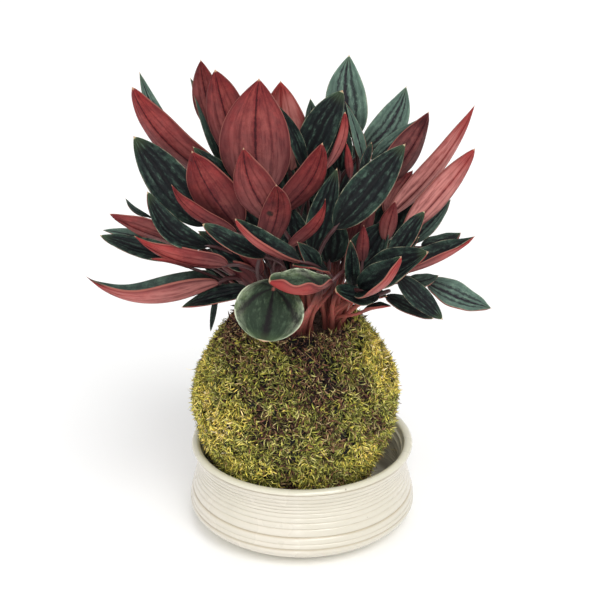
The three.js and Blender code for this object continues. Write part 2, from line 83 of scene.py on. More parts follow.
# Leaves that the front shows, by stem. Each row: tip, joint, width, turn of the upper face in degrees
# (0 front, 90 up, 180 back), arch, fold in degrees, point, how far the midrib bends to its side, and from
# 0 to 9 how light its face, how red its back and how streaked that back is. The first two also paint light
# and shade: a face is set paler where it faces the light, and face and back darker where the leaf lies in
# shadow. The pale streaks are partly a painted highlight.
LEAVES = {
    "centre": [
        ((-10, 2, 230), (-6, 8, 185), 25, 150, 1.6, 15, 0.98, 1.2, 3, 9, 9),
        ((19, 4, 225), (0, -2, 186), 17, 25, 2, 12, 0.69, -1.4, 1, 5, 1),
        ((20, -6, 217), (10, -10, 190), 5.1, 150, 1.7, 15, 0.56, -3.9, 2, 6, 3),
        ((21, -4, 202), (23, -6, 185), 4, 150, 1, 20, 1, 0, 2, 6, 1),
        ((-12, -10, 222), (1, -12, 192), 7, 30, 2, 15, 1, 1.5, 2, 5, 1),
        ((4, 10, 220), (8, 8, 195), 10.3, 30, 2, 15, 0.99, -0.6, 5, 5, 1),
        ((-8, -19, 179), (-2, -19, 148), 17, 40, 2, 15, 1, 0, 0, 3, 1),
        ((-50, -19, 204), (-31, -18, 176), 15, 40, 2, 15, 1, 0, 0, 5, 1),
        ((-37, -22, 184), (-21, -22, 157), 18, 45, 2, 15, 1, 0, 0, 5, 1),
        ((14, -14, 175), (13, -18, 147), 18, 30, 2, 15, 1, 0, 0, 5, 1),
        ((19, 7, 212), (18, 3, 186), 12, 35, 2, 15, 1, 0, 1, 4, 1),
    ],
    "front_left": [
        ((-39, -18, 239), (-27, -10, 191), 20.3, 150, 3, 15, 0.81, 2, 3, 5, 2),
        ((-76, -22, 232), (-34, -8, 183), 19.1, 145, 2.4, 18, 0.77, 9.9, 1, 6, 2),
        ((-78, -12, 207), (-45, -22, 167), 21, 35, 3.3, 15, 0.8, -1.5, 1, 5, 1),
        ((-25, -56, 213), (-10, -44, 174), 19.8, 155, 1.8, 15, 1, 4.4, 3, 5, 2),
        ((-48, -46, 209), (-29, -32, 169), 23.1, 150, 2.1, 15, 0.97, 3.3, 2, 5, 1),
        ((-57, -50, 195), (-30, -36, 168), 9, 145, 1.8, 15, 1.14, 6.5, 2, 5, 1),
        ((-56, -40, 133), (-24, -34, 139), 11.7, 65, 0, 20, 0.94, 0.5, 1, 8, 3),
        ((-102, -26, 143), (-39, -34, 143), 27.3, 95, -8, 46, 1.5, -9.9, 5, 8, 6),
        ((-75, -46, 170), (-34, -40, 154), 16.8, 140, -0.6, 18, 1.2, 7, 2, 8, 2),
        ((-96, -16, 160), (-53, -26, 152), 12, 55, 1, 15, 0.8, -2, 3, 6, 1),
        ((-96, -8, 160), (-73, -14, 157), 6, 55, 1, 15, 1, 0, 7, 5, 1),
        ((-90, -20, 172), (-55, -22, 158), 16.1, 145, 0.4, 15, 0.9, 2.8, 2, 5, 3),
        ((-70, -34, 187), (-43, -34, 161), 12.4, 45, 0.7, 20, 0.76, -6.5, 1, 6, 1),
        ((-43, -60, 180), (-16, -54, 163), 9.6, 50, 1, 15, 0.6, -2.1, 1, 6, 1),
        ((-69, -40, 157), (-51, -36, 151), 7, 120, 1, 20, 1, 1, 2, 7, 2),
        ((-37, -30, 162), (-19, -30, 145), 13, 140, 2, 15, 1, 0, 2, 5, 1),
        ((-48, -30, 167), (-25, -26, 147), 14, 40, 2, 15, 1, 0, 1, 5, 1),
        ((-40, -31, 152), (-22, -29, 138), 14, 140, 2, 15, 1, 0, 1, 3, 1),
    ],
    "back_left": [
        ((-78, 18, 231), (-59, 10, 191), 9, 40, 2, 20, 1, -2, 7, 5, 1),
        ((-46, -10, 242), (-36, 0, 201), 16.3, 150, 3, 15, 0.94, 3.2, 3, 4, 2),
        ((-85, -2, 174), (-73, -6, 166), 3, 50, 1.5, 15, 0.81, -2.5, 5, 5, 1),
        ((-52, 0, 232), (-38, 6, 189), 8.6, 40, 2, 15, 1, 0.5, 6, 5, 1),
        ((-51, -6, 145), (-28, -4, 130), 15, 40, 2, 15, 1, 0, 0, 3, 1),
        ((-46, -4, 105), (-42, -6, 128), 3, 20, 1, 10, 0.8, 0, 3, 5, 1),
    ],
    "front": [
        ((-19, -28, 237), (-19, -30, 184), 33.8, 165, 4.9, 14, 0.94, 2.2, 3, 5, 2),
        ((9, -36, 210), (-13, -28, 174), 15.3, 150, 2.9, 18, 0.84, -6.7, 2, 5, 1),
        ((16, -24, 195), (5, -31, 157), 14, 40, 2, 20, 0.9, 0, 1, 5, 1),
        ((-11, -64, 199), (-18, -46, 162), 14, 150, 4, 15, 0.92, -3.5, 3, 4, 1),
        ((10, -58, 191), (-6, -44, 164), 7.2, 145, 1.5, 20, 1.43, -4.8, 2, 6, 1),
        ((-14, -74, 159), (13, -66, 156), 21.4, 85, -4.3, 43, 0.56, -2.7, 3, 9, 2),
        ((-4, -62, 162), (12, -50, 154), 12, 65, 2, 20, 0.9, 0, 3, 8, 2),
        ((-17, -70, 129), (-12, -56, 153), 31.2, 25, 2, 6, 0.54, -0.3, 3, 8, 2),
        ((-28, -74, 187), (-1, -60, 163), 15.2, 69, -5.3, 42, 0.85, 1.2, 2, 8, 3),
        ((-2, -60, 172), (7, -52, 156), 9, 40, 1, 20, 1, 0, 4, 5, 1),
    ],
    "front_right": [
        ((80, -15, 202), (48, -18, 162), 14.4, 155, 3.6, 15, 0.78, -3.9, 4, 7, 9),
        ((47, -22, 206), (15, -38, 171), 18.6, 35, 3.4, 14, 0.87, 1.1, 2, 6, 1),
        ((56, -32, 177), (40, -36, 153), 9.9, 50, 2, 15, 0.71, 0.2, 2, 5, 1),
        ((81, -23, 162), (47, -29, 146), 18.4, 81, -1.6, 48, 1.1, 1.8, 2, 8, 4),
        ((55, -62, 168), (27, -46, 149), 20, 50, 0.5, 15, 0.82, 1.9, 2, 5, 1),
        ((42, -76, 171), (26, -57, 148), 21.5, 53, -3.1, 47, 0.92, 3.9, 2, 8, 4),
        ((64, -52, 132), (44, -42, 149), 11.3, 50, 0.9, 12, 0.76, 0.9, 2, 6, 1),
        ((61, -42, 128), (39, -36, 137), 8.9, 60, 0, 12, 0.8, 0, 0, 2, 0),
        ((65, -22, 142), (50, -26, 140), 8.5, 60, 0.5, 15, 1.01, 1.7, 5, 5, 1),
        ((41, -46, 136), (28, -34, 128), 7, 80, 1, 25, 1, 0, 3, 7, 5),
        ((28, -40, 173), (28, -34, 153), 6, 150, 1, 20, 1, 0, 2, 4, 1),
        ((21, -64, 174), (23, -50, 147), 7.6, 25, 0.5, 25, 0.8, 0.1, 1, 5, 1),
        ((15, -62, 150), (35, -52, 144), 12.2, 60, -1.9, 15, 0.5, -1.3, 3, 8, 5),
        ((39, -44, 140), (25, -36, 136), 12, 60, 2, 20, 0.9, 0, 1, 7, 2),
        ((43, -26, 180), (39, -24, 160), 9, 140, 1, 20, 1, 0, 2, 4, 2),
        ((56, -13, 158), (39, -17, 146), 13, 50, 2, 15, 1, 0, 1, 5, 1),
        ((41, -20, 169), (25, -22, 144), 19, 40, 2, 15, 1, 0, 0, 5, 1),
    ],
    "back_right": [
        ((23, 30, 237), (25, 14, 200), 21.2, 25, 3.2, 18, 0.98, -3, 8, 5, 1),
        ((52, 38, 220), (30, 20, 191), 17, 30, 2.9, 18, 0.98, 4, 8, 5, 1),
        ((21, 16, 217), (30, 10, 189), 5.9, 20, 1, 15, 1.15, 0.8, 9, 5, 1),
        ((57, 12, 210), (34, 10, 189), 9.2, 40, 1, 15, 1.09, 0.6, 7, 5, 1),
        ((60, 4, 215), (38, 0, 180), 17.5, 150, 2.3, 20, 0.95, -3.9, 5, 2, 2),
        ((81, 0, 219), (41, -8, 167), 12.8, 150, 2.9, 18, 1.02, -6.5, 4, 8, 9),
        ((33, 0, 201), (28, -4, 185), 4.5, 50, 1, 20, 0.67, 0.1, 3, 6, 1),
        ((72, 0, 173), (51, -8, 153), 10.2, 50, 1.9, 15, 1.04, 1.7, 6, 5, 1),
        ((76, -12, 160), (57, -16, 154), 11, 70, 0.5, 20, 0.94, 3.5, 3, 5, 1),
        ((93, -12, 121), (61, -12, 134), 15.9, 55, 0.9, 15, 1, 2.1, 9, 5, 1),
        ((35, -8, 183), (24, -12, 151), 16, 140, 2, 15, 1, 0, 1, 3, 1),
        ((54, 9, 185), (42, 3, 163), 13, 150, 2, 15, 1, 0, 3, 4, 4),
        ((58, 12, 182), (39, 6, 152), 18, 40, 2, 15, 1, 0, 2, 5, 1),
    ],
    "back": [
        ((-1, 24, 149), (0, 21, 122), 30, 20, 2, 10, 0.8, 0, 0, 2, 1),
    ],
}
# Leaves of the back in tiers: count, first and last bearing, lean, length, width, and the joint's reach and
# height. Then each tier's looks, as above.
TIERS = [
    (7, 24, 156, 84, 52, 21, 38, 126),
    (7, 30, 166, 64, 56, 23, 34, 143),
    (6, 48, 162, 40, 54, 23, 30, 158),
    (4, 50, 130, 16, 48, 22, 18, 162),
]
TIER_SEED = 1
BACK_SECTOR = (62, 118)
BACK_LOOKS = [(4, 5, 3), (5, 6, 4), (5, 6, 5), (6, 6, 6)]
SPOT = Named(tip=(-11, -64, 199), across=3.2, along=21.0)  # the brown spot: its leaf, and where it lies


# ---- meshes ----

def grid_faces(rows, columns):
    """Quads between closed rings of vertices. They face out where the rings turn left round their way."""
    row, column = np.meshgrid(np.arange(rows - 1), np.arange(columns), indexing="ij")
    near = row * columns
    far = near + columns
    right = (column + 1) % columns
    return np.stack([near + column, near + right, far + right, far + column], -1).reshape(-1, 4)


def fan_faces(ring, columns, point, outwards):
    """Triangles that close a ring on a point."""
    here = ring + np.arange(columns)
    there = ring + (np.arange(columns) + 1) % columns
    ends = [here, there] if outwards else [there, here]
    return np.stack([*ends, np.full(columns, point)], -1)


def closed_faces(rows, columns):
    """Faces of a body of rings. Two more vertices close it: one after the last ring, and then one before the
    first."""
    end = rows * columns
    after = fan_faces(end - columns, columns, end, True)
    return [grid_faces(rows, columns), after, fan_faces(0, columns, end + 1, False)]


class Build:
    """Gathers parts of one piece: their vertices in mm, faces, material numbers and named vertex values."""

    def __init__(self):
        self.vertices, self.faces, self.materials, self.values, self.count = [], [], [], {}, 0

    def add(self, vertices, faces, materials=0, **values):
        for part, material in zip(faces, np.broadcast_to(materials, len(faces))):
            self.faces.append(part + self.count)
            self.materials.append(np.full(len(part), material))
        for name, value in values.items():
            wide = np.shape(value)[-1:] == (3,) and np.ndim(value) > 1
            shape = (len(vertices), 3) if wide else (len(vertices),)
            self.values.setdefault(name, []).append(np.broadcast_to(value, shape))
        self.vertices.append(vertices)
        self.count += len(vertices)

    def piece(self, name, materials, replaced=()):
        mesh = bpy.data.meshes.new(name)
        points = np.concatenate(self.vertices)
        mesh.vertices.add(len(points))
        mesh.vertices.foreach_set("co", (points * MM).astype(np.float32).ravel())
        sizes = np.concatenate([np.full(len(part), part.shape[1]) for part in self.faces])
        corners = np.concatenate([part.ravel() for part in self.faces])
        mesh.loops.add(len(corners))
        mesh.loops.foreach_set("vertex_index", corners.astype(np.int32))
        mesh.polygons.add(len(sizes))
        mesh.polygons.foreach_set("loop_start", (np.cumsum(sizes) - sizes).astype(np.int32))
        mesh.polygons.foreach_set("material_index", np.concatenate(self.materials).astype(np.int32))
        mesh.polygons.foreach_set("use_smooth", np.ones(len(sizes), bool))
        for label, parts in self.values.items():
            value = np.concatenate(parts).astype(np.float32)
            kind, key = ("FLOAT_VECTOR", "vector") if value.ndim > 1 else ("FLOAT", "value")
            mesh.attributes.new(label, kind, "POINT").data.foreach_set(key, value.ravel())
        mesh.update(calc_edges=True)
        mesh.validate()
        for material in materials:
            mesh.materials.append(material)
        made = bpy.data.objects.new(name, mesh)
        bpy.context.scene.collection.objects.link(made)
        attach(made, "root")
        if replaced:
            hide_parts(*replaced)


def unit(vectors):
    return vectors / np.linalg.norm(vectors, axis=-1, keepdims=True)


def smooth(low, high, value):
    share = np.clip((value - low) / (high - low), 0, 1)
    return share * share * (3 - 2 * share)


class Lumps:
    """Smooth chance in space, about -1 to 1: waves in seeded directions make lumps about a period wide."""

    def __init__(self, seed, period, waves=10):
        draw = np.random.default_rng(seed)
        ways = unit(draw.normal(size=(waves, 3)))
        self.ways = ways * (2 * np.pi / period) * draw.uniform(0.6, 1.4, (waves, 1))
        self.phases = draw.uniform(0, 2 * np.pi, waves)

    def __call__(self, points):
        return np.sin(points @ self.ways.T + self.phases).sum(-1) * math.sqrt(1 / len(self.phases))


def turns(count):
    """Angles that go round once in even steps."""
    return np.arange(count) * 2 * np.pi / count


def tube(path, radii, side, sides):
    """Vertices of a tube along a path, ring by ring."""
    along = unit(np.gradient(path, axis=0))
    across = unit(side - along * (along @ side)[:, None])
    out = np.cross(along, across)
    turn = turns(sides)[:, None]
    ring = across[:, None] * np.cos(turn) + out[:, None] * np.sin(turn)
    return (path[:, None] + ring * radii[:, None, None]).reshape(-1, 3)


# ---- the plant ----

def leaf(tip, base, face, width, arch, fold, point, sway, looks):
    tip, base, face = (np.array(vector, float) for vector in (tip, base, face))
    return Named(tip=tip, base=base, face=face, width=width, arch=arch, fold=math.radians(fold), point=point,
                 sway=sway, looks=looks)


def front_leaf(row):
    tip, base, width, turn, arch, fold, point, sway, *looks = row
    angle = math.radians(turn)
    return leaf(tip, base, (0, -math.cos(angle), math.sin(angle)), width, arch, fold, point, sway, looks)


def chance(seed):
    """A small generator of its own, so that the back's leaves stand where the frame has them."""
    state = seed

    def draw(low, high):
        nonlocal state
        state = (state * 1664525 + 1013904223) % 4294967296
        return low + (high - low) * state / 4294967296

    return draw


def back_leaf(tier, looks, share, draw):
    _, first, last, lean, length, width, reach, height = tier
    bearing = math.radians(first + (last - first) * share + draw(-4, 4))
    tilt = math.radians(lean + draw(-6, 6))
    shortened = 1 - 0.25 * math.cos(bearing) ** 2
    outward = np.array([math.cos(bearing), math.sin(bearing), 0])
    up = np.array([0, 0, 1])
    base = outward * reach * shortened + up * (height + draw(-4, 4))
    tip = base + (outward * math.sin(tilt) + up * math.cos(tilt)) * length * shortened * draw(0.9, 1.1)
    face = up * math.sin(tilt) - outward * math.cos(tilt)
    face = face + np.array([draw(-0.25, 0.25), draw(-0.25, 0.25), 0])
    return math.degrees(bearing), leaf(tip, base, face, width * draw(0.85, 1.1), 4, 16, 1.1, 0, looks)


def leaves_by_stem():
    leaves = {name: [front_leaf(row) for row in LEAVES.get(name, [])] for name in STEMS}
    draw = chance(TIER_SEED)
    for tier, looks in zip(TIERS, BACK_LOOKS):
        for i in range(tier[0]):
            bearing, made = back_leaf(tier, looks, i / (tier[0] - 1), draw)
            side = sum(bearing > edge for edge in BACK_SECTOR)
            leaves[("back_right", "back", "back_left")[side]].append(made)
    return leaves


def rooted(place, leaves):
    """Pairs of leaf and root. Each leaf in turn, from the furthest reaching one, takes the free root that
    lies most towards it."""
    away = [made.base[:2] - np.array(place) for made in leaves]
    number = np.arange(len(leaves))
    turn = number * GOLDEN_ANGLE
    out = STEM.spread * np.sqrt((number + 0.5) / len(leaves))
    free = list(np.stack([out * np.cos(turn), out * np.sin(turn)], -1))
    pairs = []
    for i in sorted(range(len(leaves)), key=lambda i: -np.linalg.norm(away[i])):
        free.sort(key=lambda root: -root @ away[i])
        x, y = free.pop(0) + place
        pairs.append((leaves[i], np.array([x, y, STEM.roots])))
    return pairs


def vein_phase(across):
    """0 on the midrib, 1 on the next vein, and so on."""
    return np.interp(np.abs(across), VEINS, range(len(VEINS)))


class Blade:
    """One blade's surface. across runs from -1 to 1 between the edges, along from 0 at the joint to 1."""

    def __init__(self, leaf, draw):
        self.leaf = leaf
        chord = leaf.tip - leaf.base
        self.length = np.linalg.norm(chord)
        self.along = chord / self.length
        self.up = unit(leaf.face - self.along * (leaf.face @ self.along))
        self.side = np.cross(self.along, self.up)
        self.uneven = draw.uniform(-0.03, 0.03)
        self.wave = draw.uniform(0.5, 1.2) * 0.022 * leaf.width
        self.waves = draw.uniform(1.5, 2.6, 2)
        self.phases = draw.uniform(0, 2 * np.pi, 2)
        self.wander = draw.uniform(0, 2 * np.pi)
        self.spread = draw.uniform(0.93, 1.08)
        self.round = leaf.point < ROUND.point and leaf.width > ROUND.width
        self.broad = float(smooth(5, 13, leaf.width))

    def half(self, s):
        point = self.leaf.point
        widest = FULLNESS / (FULLNESS + point)
        most = widest**FULLNESS * (1 - widest) ** point
        return self.leaf.width / 2 * s**FULLNESS * (1 - s) ** point / most

    def midrib(self, s):
        s = np.asarray(s, float)[..., None]
        bend = 4 * s * (1 - s)
        chord = self.leaf.base + self.along * self.length * s
        return chord + self.up * self.leaf.arch * bend + self.side * self.leaf.sway * bend

    def vein_across(self, s, t):
        """Where a point lies between midrib and edge, as its veins count it."""
        if not self.round:
            drift = 0.025 * np.sin(7 * s + self.wander) + 0.012 * np.sin(17 * s + 2 * self.wander)
            return np.sign(t) * np.abs(t + drift * (1 - t**2)) * self.spread
        sideways = self.half(s) * t
        forward = self.length * (s - ROUND_JOINT)
        away = np.hypot(sideways, forward) / self.length
        return np.arctan2(sideways, forward) / ROUND_SPREAD * (0.75 + 0.6 * away)

    def surface(self, s, t, pleated=1.0):
        """Points of the upper face: folded on the midrib, pleated between the veins and wavy at the edge."""
        half = self.half(s) * (1 + self.uneven * np.sign(t))
        fold = self.leaf.fold
        crease = (np.sqrt(t**2 + 0.05) - math.sqrt(0.05)) / (math.sqrt(1.05) - math.sqrt(0.05))
        window = smooth(0, 0.14, s) * smooth(1, 0.8, s)
        height = PLEATS["round" if self.round else "long"] * self.leaf.width * pleated * self.broad
        pleats = np.abs(np.sin(np.pi * vein_phase(self.vein_across(s, t)))) ** 0.8 * height * window
        which = np.where(t < 0, 0, 1)
        swing = np.sin(2 * np.pi * self.waves[which] * s + self.phases[which])
        edge = np.abs(t) ** 3 * window * self.wave * swing * (2.2 if self.round else 1)
        rise = half * math.sin(fold) * crease + pleats + edge
        sideways = half * t * math.cos(fold)
        return self.midrib(s) + self.side * sideways[..., None] + self.up * rise[..., None]


def add_blade(build, blade, number):
    even = np.linspace(0, 1, BLADE_ROWS)
    rows = 0.004 + 0.988 * (0.5 * even + 0.5 * (0.5 - 0.5 * np.cos(np.pi * even)))
    columns = np.sin(np.linspace(-1, 1, BLADE_COLUMNS) * math.pi / 2)
    columns = 0.5 * columns + 0.5 * np.linspace(-1, 1, BLADE_COLUMNS)
    s, t = np.meshgrid(rows, columns, indexing="ij")
    upper = blade.surface(s, t)
    normal = unit(np.cross(np.gradient(upper, axis=1), np.gradient(upper, axis=0)))
    slim = np.minimum(1, 0.25 + blade.half(s) / 3)
    depth = (RIM_THICKNESS + (BLADE_THICKNESS - RIM_THICKNESS) * (1 - np.abs(t) ** 4)) * slim
    lower = blade.surface(s, t, PLEATS["beneath"]) - normal * depth[..., None]
    ring = np.concatenate([upper, lower[:, ::-1]], 1)
    tip = blade.midrib(1.0) + blade.along * 0.4
    foot = blade.midrib(0.0) - blade.up * 0.3
    vertices = np.concatenate([ring.reshape(-1, 3), [tip, foot]])
    size = 2 * BLADE_COLUMNS
    quads, *fans = closed_faces(BLADE_ROWS, size)
    quads = quads.reshape(BLADE_ROWS - 1, size, 4)

    def both_faces(grid, at_tip=0):
        """A value of the upper face, repeated on the lower face, then at the tip and at the foot."""
        return np.append(np.concatenate([grid, grid[:, ::-1]], 1).ravel(), [at_tip, 0])

    across, veins, along = both_faces(t), both_faces(blade.vein_across(s, t)), both_faces(s, at_tip=1)
    layer = np.full(len(along), 37.0 * number)  # so that no two blades have the same patches
    place = np.stack([across * blade.leaf.width / 2, along * blade.length, layer], -1)
    face, back, streaks = (level / 9 for level in blade.leaf.looks)
    spot = np.zeros(len(vertices))
    if tuple(blade.leaf.tip) == SPOT.tip:
        spot = smooth(1.9, 1.2, np.hypot(place[:, 0] - SPOT.across, place[:, 1] - SPOT.along))
    if blade.round:
        spot = smooth(1.1, 0.6, np.hypot(place[:, 0], place[:, 1] - ROUND_JOINT * blade.length))
    build.add(
        vertices,
        [quads[:, :BLADE_COLUMNS - 1].reshape(-1, 4), quads[:, BLADE_COLUMNS - 1:].reshape(-1, 4), *fans],
        [TOP, UNDERSIDE, UNDERSIDE, UNDERSIDE],
        veins=veins, across=np.abs(across), along=along, place=place,
        face=face, back=back, streaks=streaks, spot=spot, round=float(blade.round), broad=blade.broad,
    )


def add_stalk(build, blade, root):
    base = blade.leaf.base
    outward = (base - root) * [1, 1, 0]
    reach = np.linalg.norm(base - root)
    bend = blade.up * blade.leaf.arch + blade.side * blade.leaf.sway
    arrive = unit(blade.along + bend * 4 / blade.length)
    first = root + outward * 0.03 + np.array([0, 0, STALK.bend * reach])
    second = base - arrive * STALK.bend * reach
    u = np.linspace(0, 1, STALK.steps)[:, None]
    free = (1 - u) ** 3 * root + 3 * (1 - u) ** 2 * u * first + 3 * (1 - u) * u**2 * second + u**3 * base
    under = np.array([0.03, 0.07, 0.12])
    ridge = blade.midrib(under) - blade.up * 0.45
    path = np.concatenate([free[:-1], [base - blade.up * 0.2], ridge])
    thick = STALK.radius + STALK.per_width * blade.leaf.width
    u = u[:, 0]
    flare = 1 + 0.5 * np.exp(-u * reach / 3)
    radii = thick * np.append((1 - STALK.taper * u) * flare, np.interp(under, [0, 0.12], [0.7, 0.15]))
    vertices = tube(path, radii, blade.side, STALK.sides)
    vertices = np.concatenate([vertices, [path[-1] + blade.along * 0.3, path[0]]])
    along = np.append(np.repeat(np.append(u * 0.9, 0.9 + under / 3), STALK.sides), [1, 0])
    _, back, streaks = (level / 9 for level in blade.leaf.looks)
    levels = BLADE_LEVELS | {"back": back, "streaks": streaks}
    faces = closed_faces(len(path), STALK.sides)
    build.add(vertices, faces, STALK_SKIN, along=along, place=vertices, **levels)


def add_stem(build, place):
    """The short knobbly stem that the stalks come out of, level with the soil."""
    down = np.linspace(0, 1, STEM.rings)[:, None]
    turn = turns(STEM.sides)
    radius = STEM.radius * np.sin(0.12 + down * 1.45)
    z = np.repeat(STEM.top - STEM.depth * down**2.2, STEM.sides, 1)
    ring = np.stack([radius * np.cos(turn), radius * np.sin(turn), z], -1) + [*place, 0]
    ring = ring.reshape(-1, 3)[::-1]
    knobs = 0.35 * Lumps(seed=3, period=2.6)(ring)
    ring = ring + unit(ring - [*place, STEM.heart]) * knobs[:, None]
    vertices = np.concatenate([ring, [[*place, STEM.top], [*place, STEM.top - STEM.depth]]])
    faces = [part[:, ::-1] for part in closed_faces(STEM.rings, STEM.sides)]
    build.add(vertices, faces, STEM_BARK, along=0.0, place=vertices, **BLADE_LEVELS)


def make_plant(materials):
    number = 0
    for name, leaves in leaves_by_stem().items():
        build = Build()
        add_stem(build, STEMS[name])
        for made, root in rooted(STEMS[name], leaves):
            number += 1
            blade = Blade(made, np.random.default_rng(BLADE_SEED + number))
            add_blade(build, blade, number)
            add_stalk(build, blade, root)
        build.piece(f"foliage_{name}", materials, [f"leafy_stem_{name}"])


# ---- moss and soil ----

def ball_radius(z):
    above = np.clip((z - BALL.widest) / BALL.crown_reach, 0, 1)
    below = np.clip((BALL.widest - z) / BALL.foot_reach, 0, 1)
    high = (1 - above**1.55) ** 0.7
    low = (1 - below**1.8) ** (1 / 1.8)
    return BALL.radius * np.where(z > BALL.widest, high, low)


def tufts(angle, z):
    broad = 1.1 * np.sin(3 * angle + 0.06 * z) * np.cos(0.09 * z + 2 * angle)
    small = 0.7 * np.sin(8 * angle - 0.11 * z) * np.sin(0.23 * z + 3 * angle)
    return broad + small


def bulge(angle, z):
    """The tuft on the right, which only the finer moss has."""
    turned = np.angle(np.exp(1j * (angle - TUFT.angle)))
    away = np.hypot(BALL.radius * turned, z - TUFT.z)
    return TUFT.rise * np.exp(-(away / TUFT.across) ** 2)


def moss_depth(z):
    share = np.clip((z - BALL.thinning) / (BALL.shoulder - BALL.thinning), 0, 1)
    return BALL.moss + (BALL.moss_at_mouth - BALL.moss) * share


def ball_points(radius, angle, z):
    return np.stack([BALL.x + radius * np.cos(angle), radius * np.sin(angle), z], -1)


def spun(profile, segments, shape):
    """Vertices and faces of an outline of (radius, z) spun about the axis. The outline runs from the axis
    below, round the outside, and back to the axis; shape moves its radius and z at each angle."""
    inner = profile[1:-1]
    radius, angle = np.meshgrid(inner[:, 0], turns(segments), indexing="ij")
    radius, z = shape(radius, angle, np.repeat(inner[:, 1:2], segments, 1))
    ring = np.stack([radius * np.cos(angle), radius * np.sin(angle), z], -1).reshape(-1, 3)
    ends = [[0, 0, profile[-1, 1]], [0, 0, profile[0, 1]]]
    return np.concatenate([ring, ends]), closed_faces(len(inner), segments)


def moss_profile(inset):
    """The moss's outside from its foot to inside its mouth, drawn in by inset."""
    z = np.concatenate([BALL.foot + np.linspace(0.4, 6, 8), np.linspace(12, BALL.shoulder, 90)])
    outside = np.stack([ball_radius(z) - inset, z], -1)
    corner = outside[-1, 0]
    lip = [(corner - 1.2, BALL.top - 0.8 - inset), (BALL.mouth + 0.8, BALL.top - inset),
           (BALL.mouth + 0.2 * inset, BALL.top - 2), (BALL.mouth + 0.1, BALL.top - 5)]
    return np.concatenate([outside, lip])


# Patches of the moss as the front shows them: x, z, radius, and how brown (below 0) or how yellow.
PATCHES = [
    (-47, 72, 19, 0.4), (-36, 46, 14, 0.25), (-14, 76, 13, -0.45), (-30, 99, 10, -0.3), (10, 102, 15, -0.5),
    (30, 88, 5, -0.9), (36, 70, 6, -0.6), (38, 98, 10, 0.45), (45, 84, 9, 0.6), (26, 52, 14, 0.3),
    (-12, 58, 9, -0.2), (2, 74, 10, -0.3), (8, 88, 8, -0.3), (8, 40, 12, 0.1), (-4, 30, 9, -0.35),
    (-22, 92, 13, -0.35), (-24, 62, 8, -0.3), (20, 44, 7, -0.35), (14, 64, 7, -0.4), (-32, 30, 9, -0.25),
]
TUFT = Named(angle=-0.15, z=84.0, across=8.0, rise=3.0)  # a yellow tuft that stands out on the right
# The mat is the darkest brown. With its low tone and full root shade it is near black: painted shade in the
# gaps between the strands.
MAT_PATCH = -1.7  # how brown the mat is, as in PATCHES
MAT_SEGMENTS = 220
MAT_INSET = 2.6  # how far the dark mat lies under the moss's outside
# Strands and dry fibres: how far under the moss's outside they start, and how far they curl at each step.
STRAND = Named(inset=2.1, steps=3, length=(2.4, 5.8), width=(0.46, 0.84), curl=0.42)
FIBRE = Named(inset=0.6, steps=7, length=(6, 15), width=(0.18, 0.32), curl=0.12, patch=1.3)
CLUMP = 0.7  # how far the moss rises and sinks in clumps
MOSS_PIECES = 5
MOSS_STRANDS = 12000  # in each piece, before the bare places are thinned
MOSS_SEED = 50
FIBRES = 150
FIBRE_SEED = 40


def moss_patch(points, draw):
    """How yellow the moss is at a point, from about -1, brown, to 1, yellow."""
    broad = 0.16 * Lumps(seed=11, period=34)(points) + 0.36 * Lumps(seed=12, period=11)(points)
    # Painted shade under the ball: darker and browner towards the bottom.
    low_shade = -1.0 * smooth(50, 14, points[:, 2])
    soiled = -0.6 * smooth(103, 112, points[:, 2])
    named = np.zeros(len(points))
    for x, z, radius, amount in PATCHES:
        near = np.hypot(points[:, 0] - x, points[:, 2] - z) / radius
        named += amount * 1.4 * np.exp(-near**2) * (points[:, 1] < 0)
    return broad + low_shade + soiled + named + draw.normal(0, 0.44, len(points))


def add_moss_mat(build):
    def shape(radius, angle, z):
        points = ball_points(radius, angle, z)
        outside = radius > ball_radius(z) - 3
        rough = 0.8 * Lumps(seed=5, period=7)(points) + 0.5 * Lumps(seed=6, period=3.5)(points)
        return radius + np.where(outside, tufts(angle, z) + bulge(angle, z) + rough, 0), z

    low = BALL.foot + BALL.moss
    inner_z = np.linspace(BALL.top - 6, low + 2, 12)
    inside = np.stack([ball_radius(inner_z) - moss_depth(inner_z), inner_z], -1)
    profile = np.concatenate([[(0, BALL.foot)], moss_profile(MAT_INSET), inside, [(0, low)]])
    vertices, faces = spun(profile, MAT_SEGMENTS, shape)
    # A low tone and no length make the mat near black: painted shade between the strands.
    build.add(vertices + [BALL.x, 0, 0], faces, patch=MAT_PATCH, tone=0.1, along=0.0)


def moss_places(count, inset, draw):
    """Seeded points on the moss with the way out of it, even over its area."""
    profile = moss_profile(inset)
    steps = np.diff(profile, axis=0)
    length = np.linalg.norm(steps, axis=1)
    middle = (profile[:-1] + profile[1:]) / 2
    weight = length * middle[:, 0]
    pick = draw.choice(len(weight), count, p=weight / weight.sum())
    share = draw.random(count)[:, None]
    radius, z = (profile[pick] + steps[pick] * share).T
    way = np.stack([steps[:, 1], -steps[:, 0]], -1)[pick] / length[pick][:, None]
    angle = draw.uniform(0, 2 * np.pi, count)
    on_side = smooth(BALL.shoulder + 1, BALL.shoulder - 2, z)
    points = ball_points(radius + (tufts(angle, z) + bulge(angle, z)) * on_side, angle, z)
    out = np.stack([way[:, 0] * np.cos(angle), way[:, 0] * np.sin(angle), way[:, 1]], -1)
    return points, out


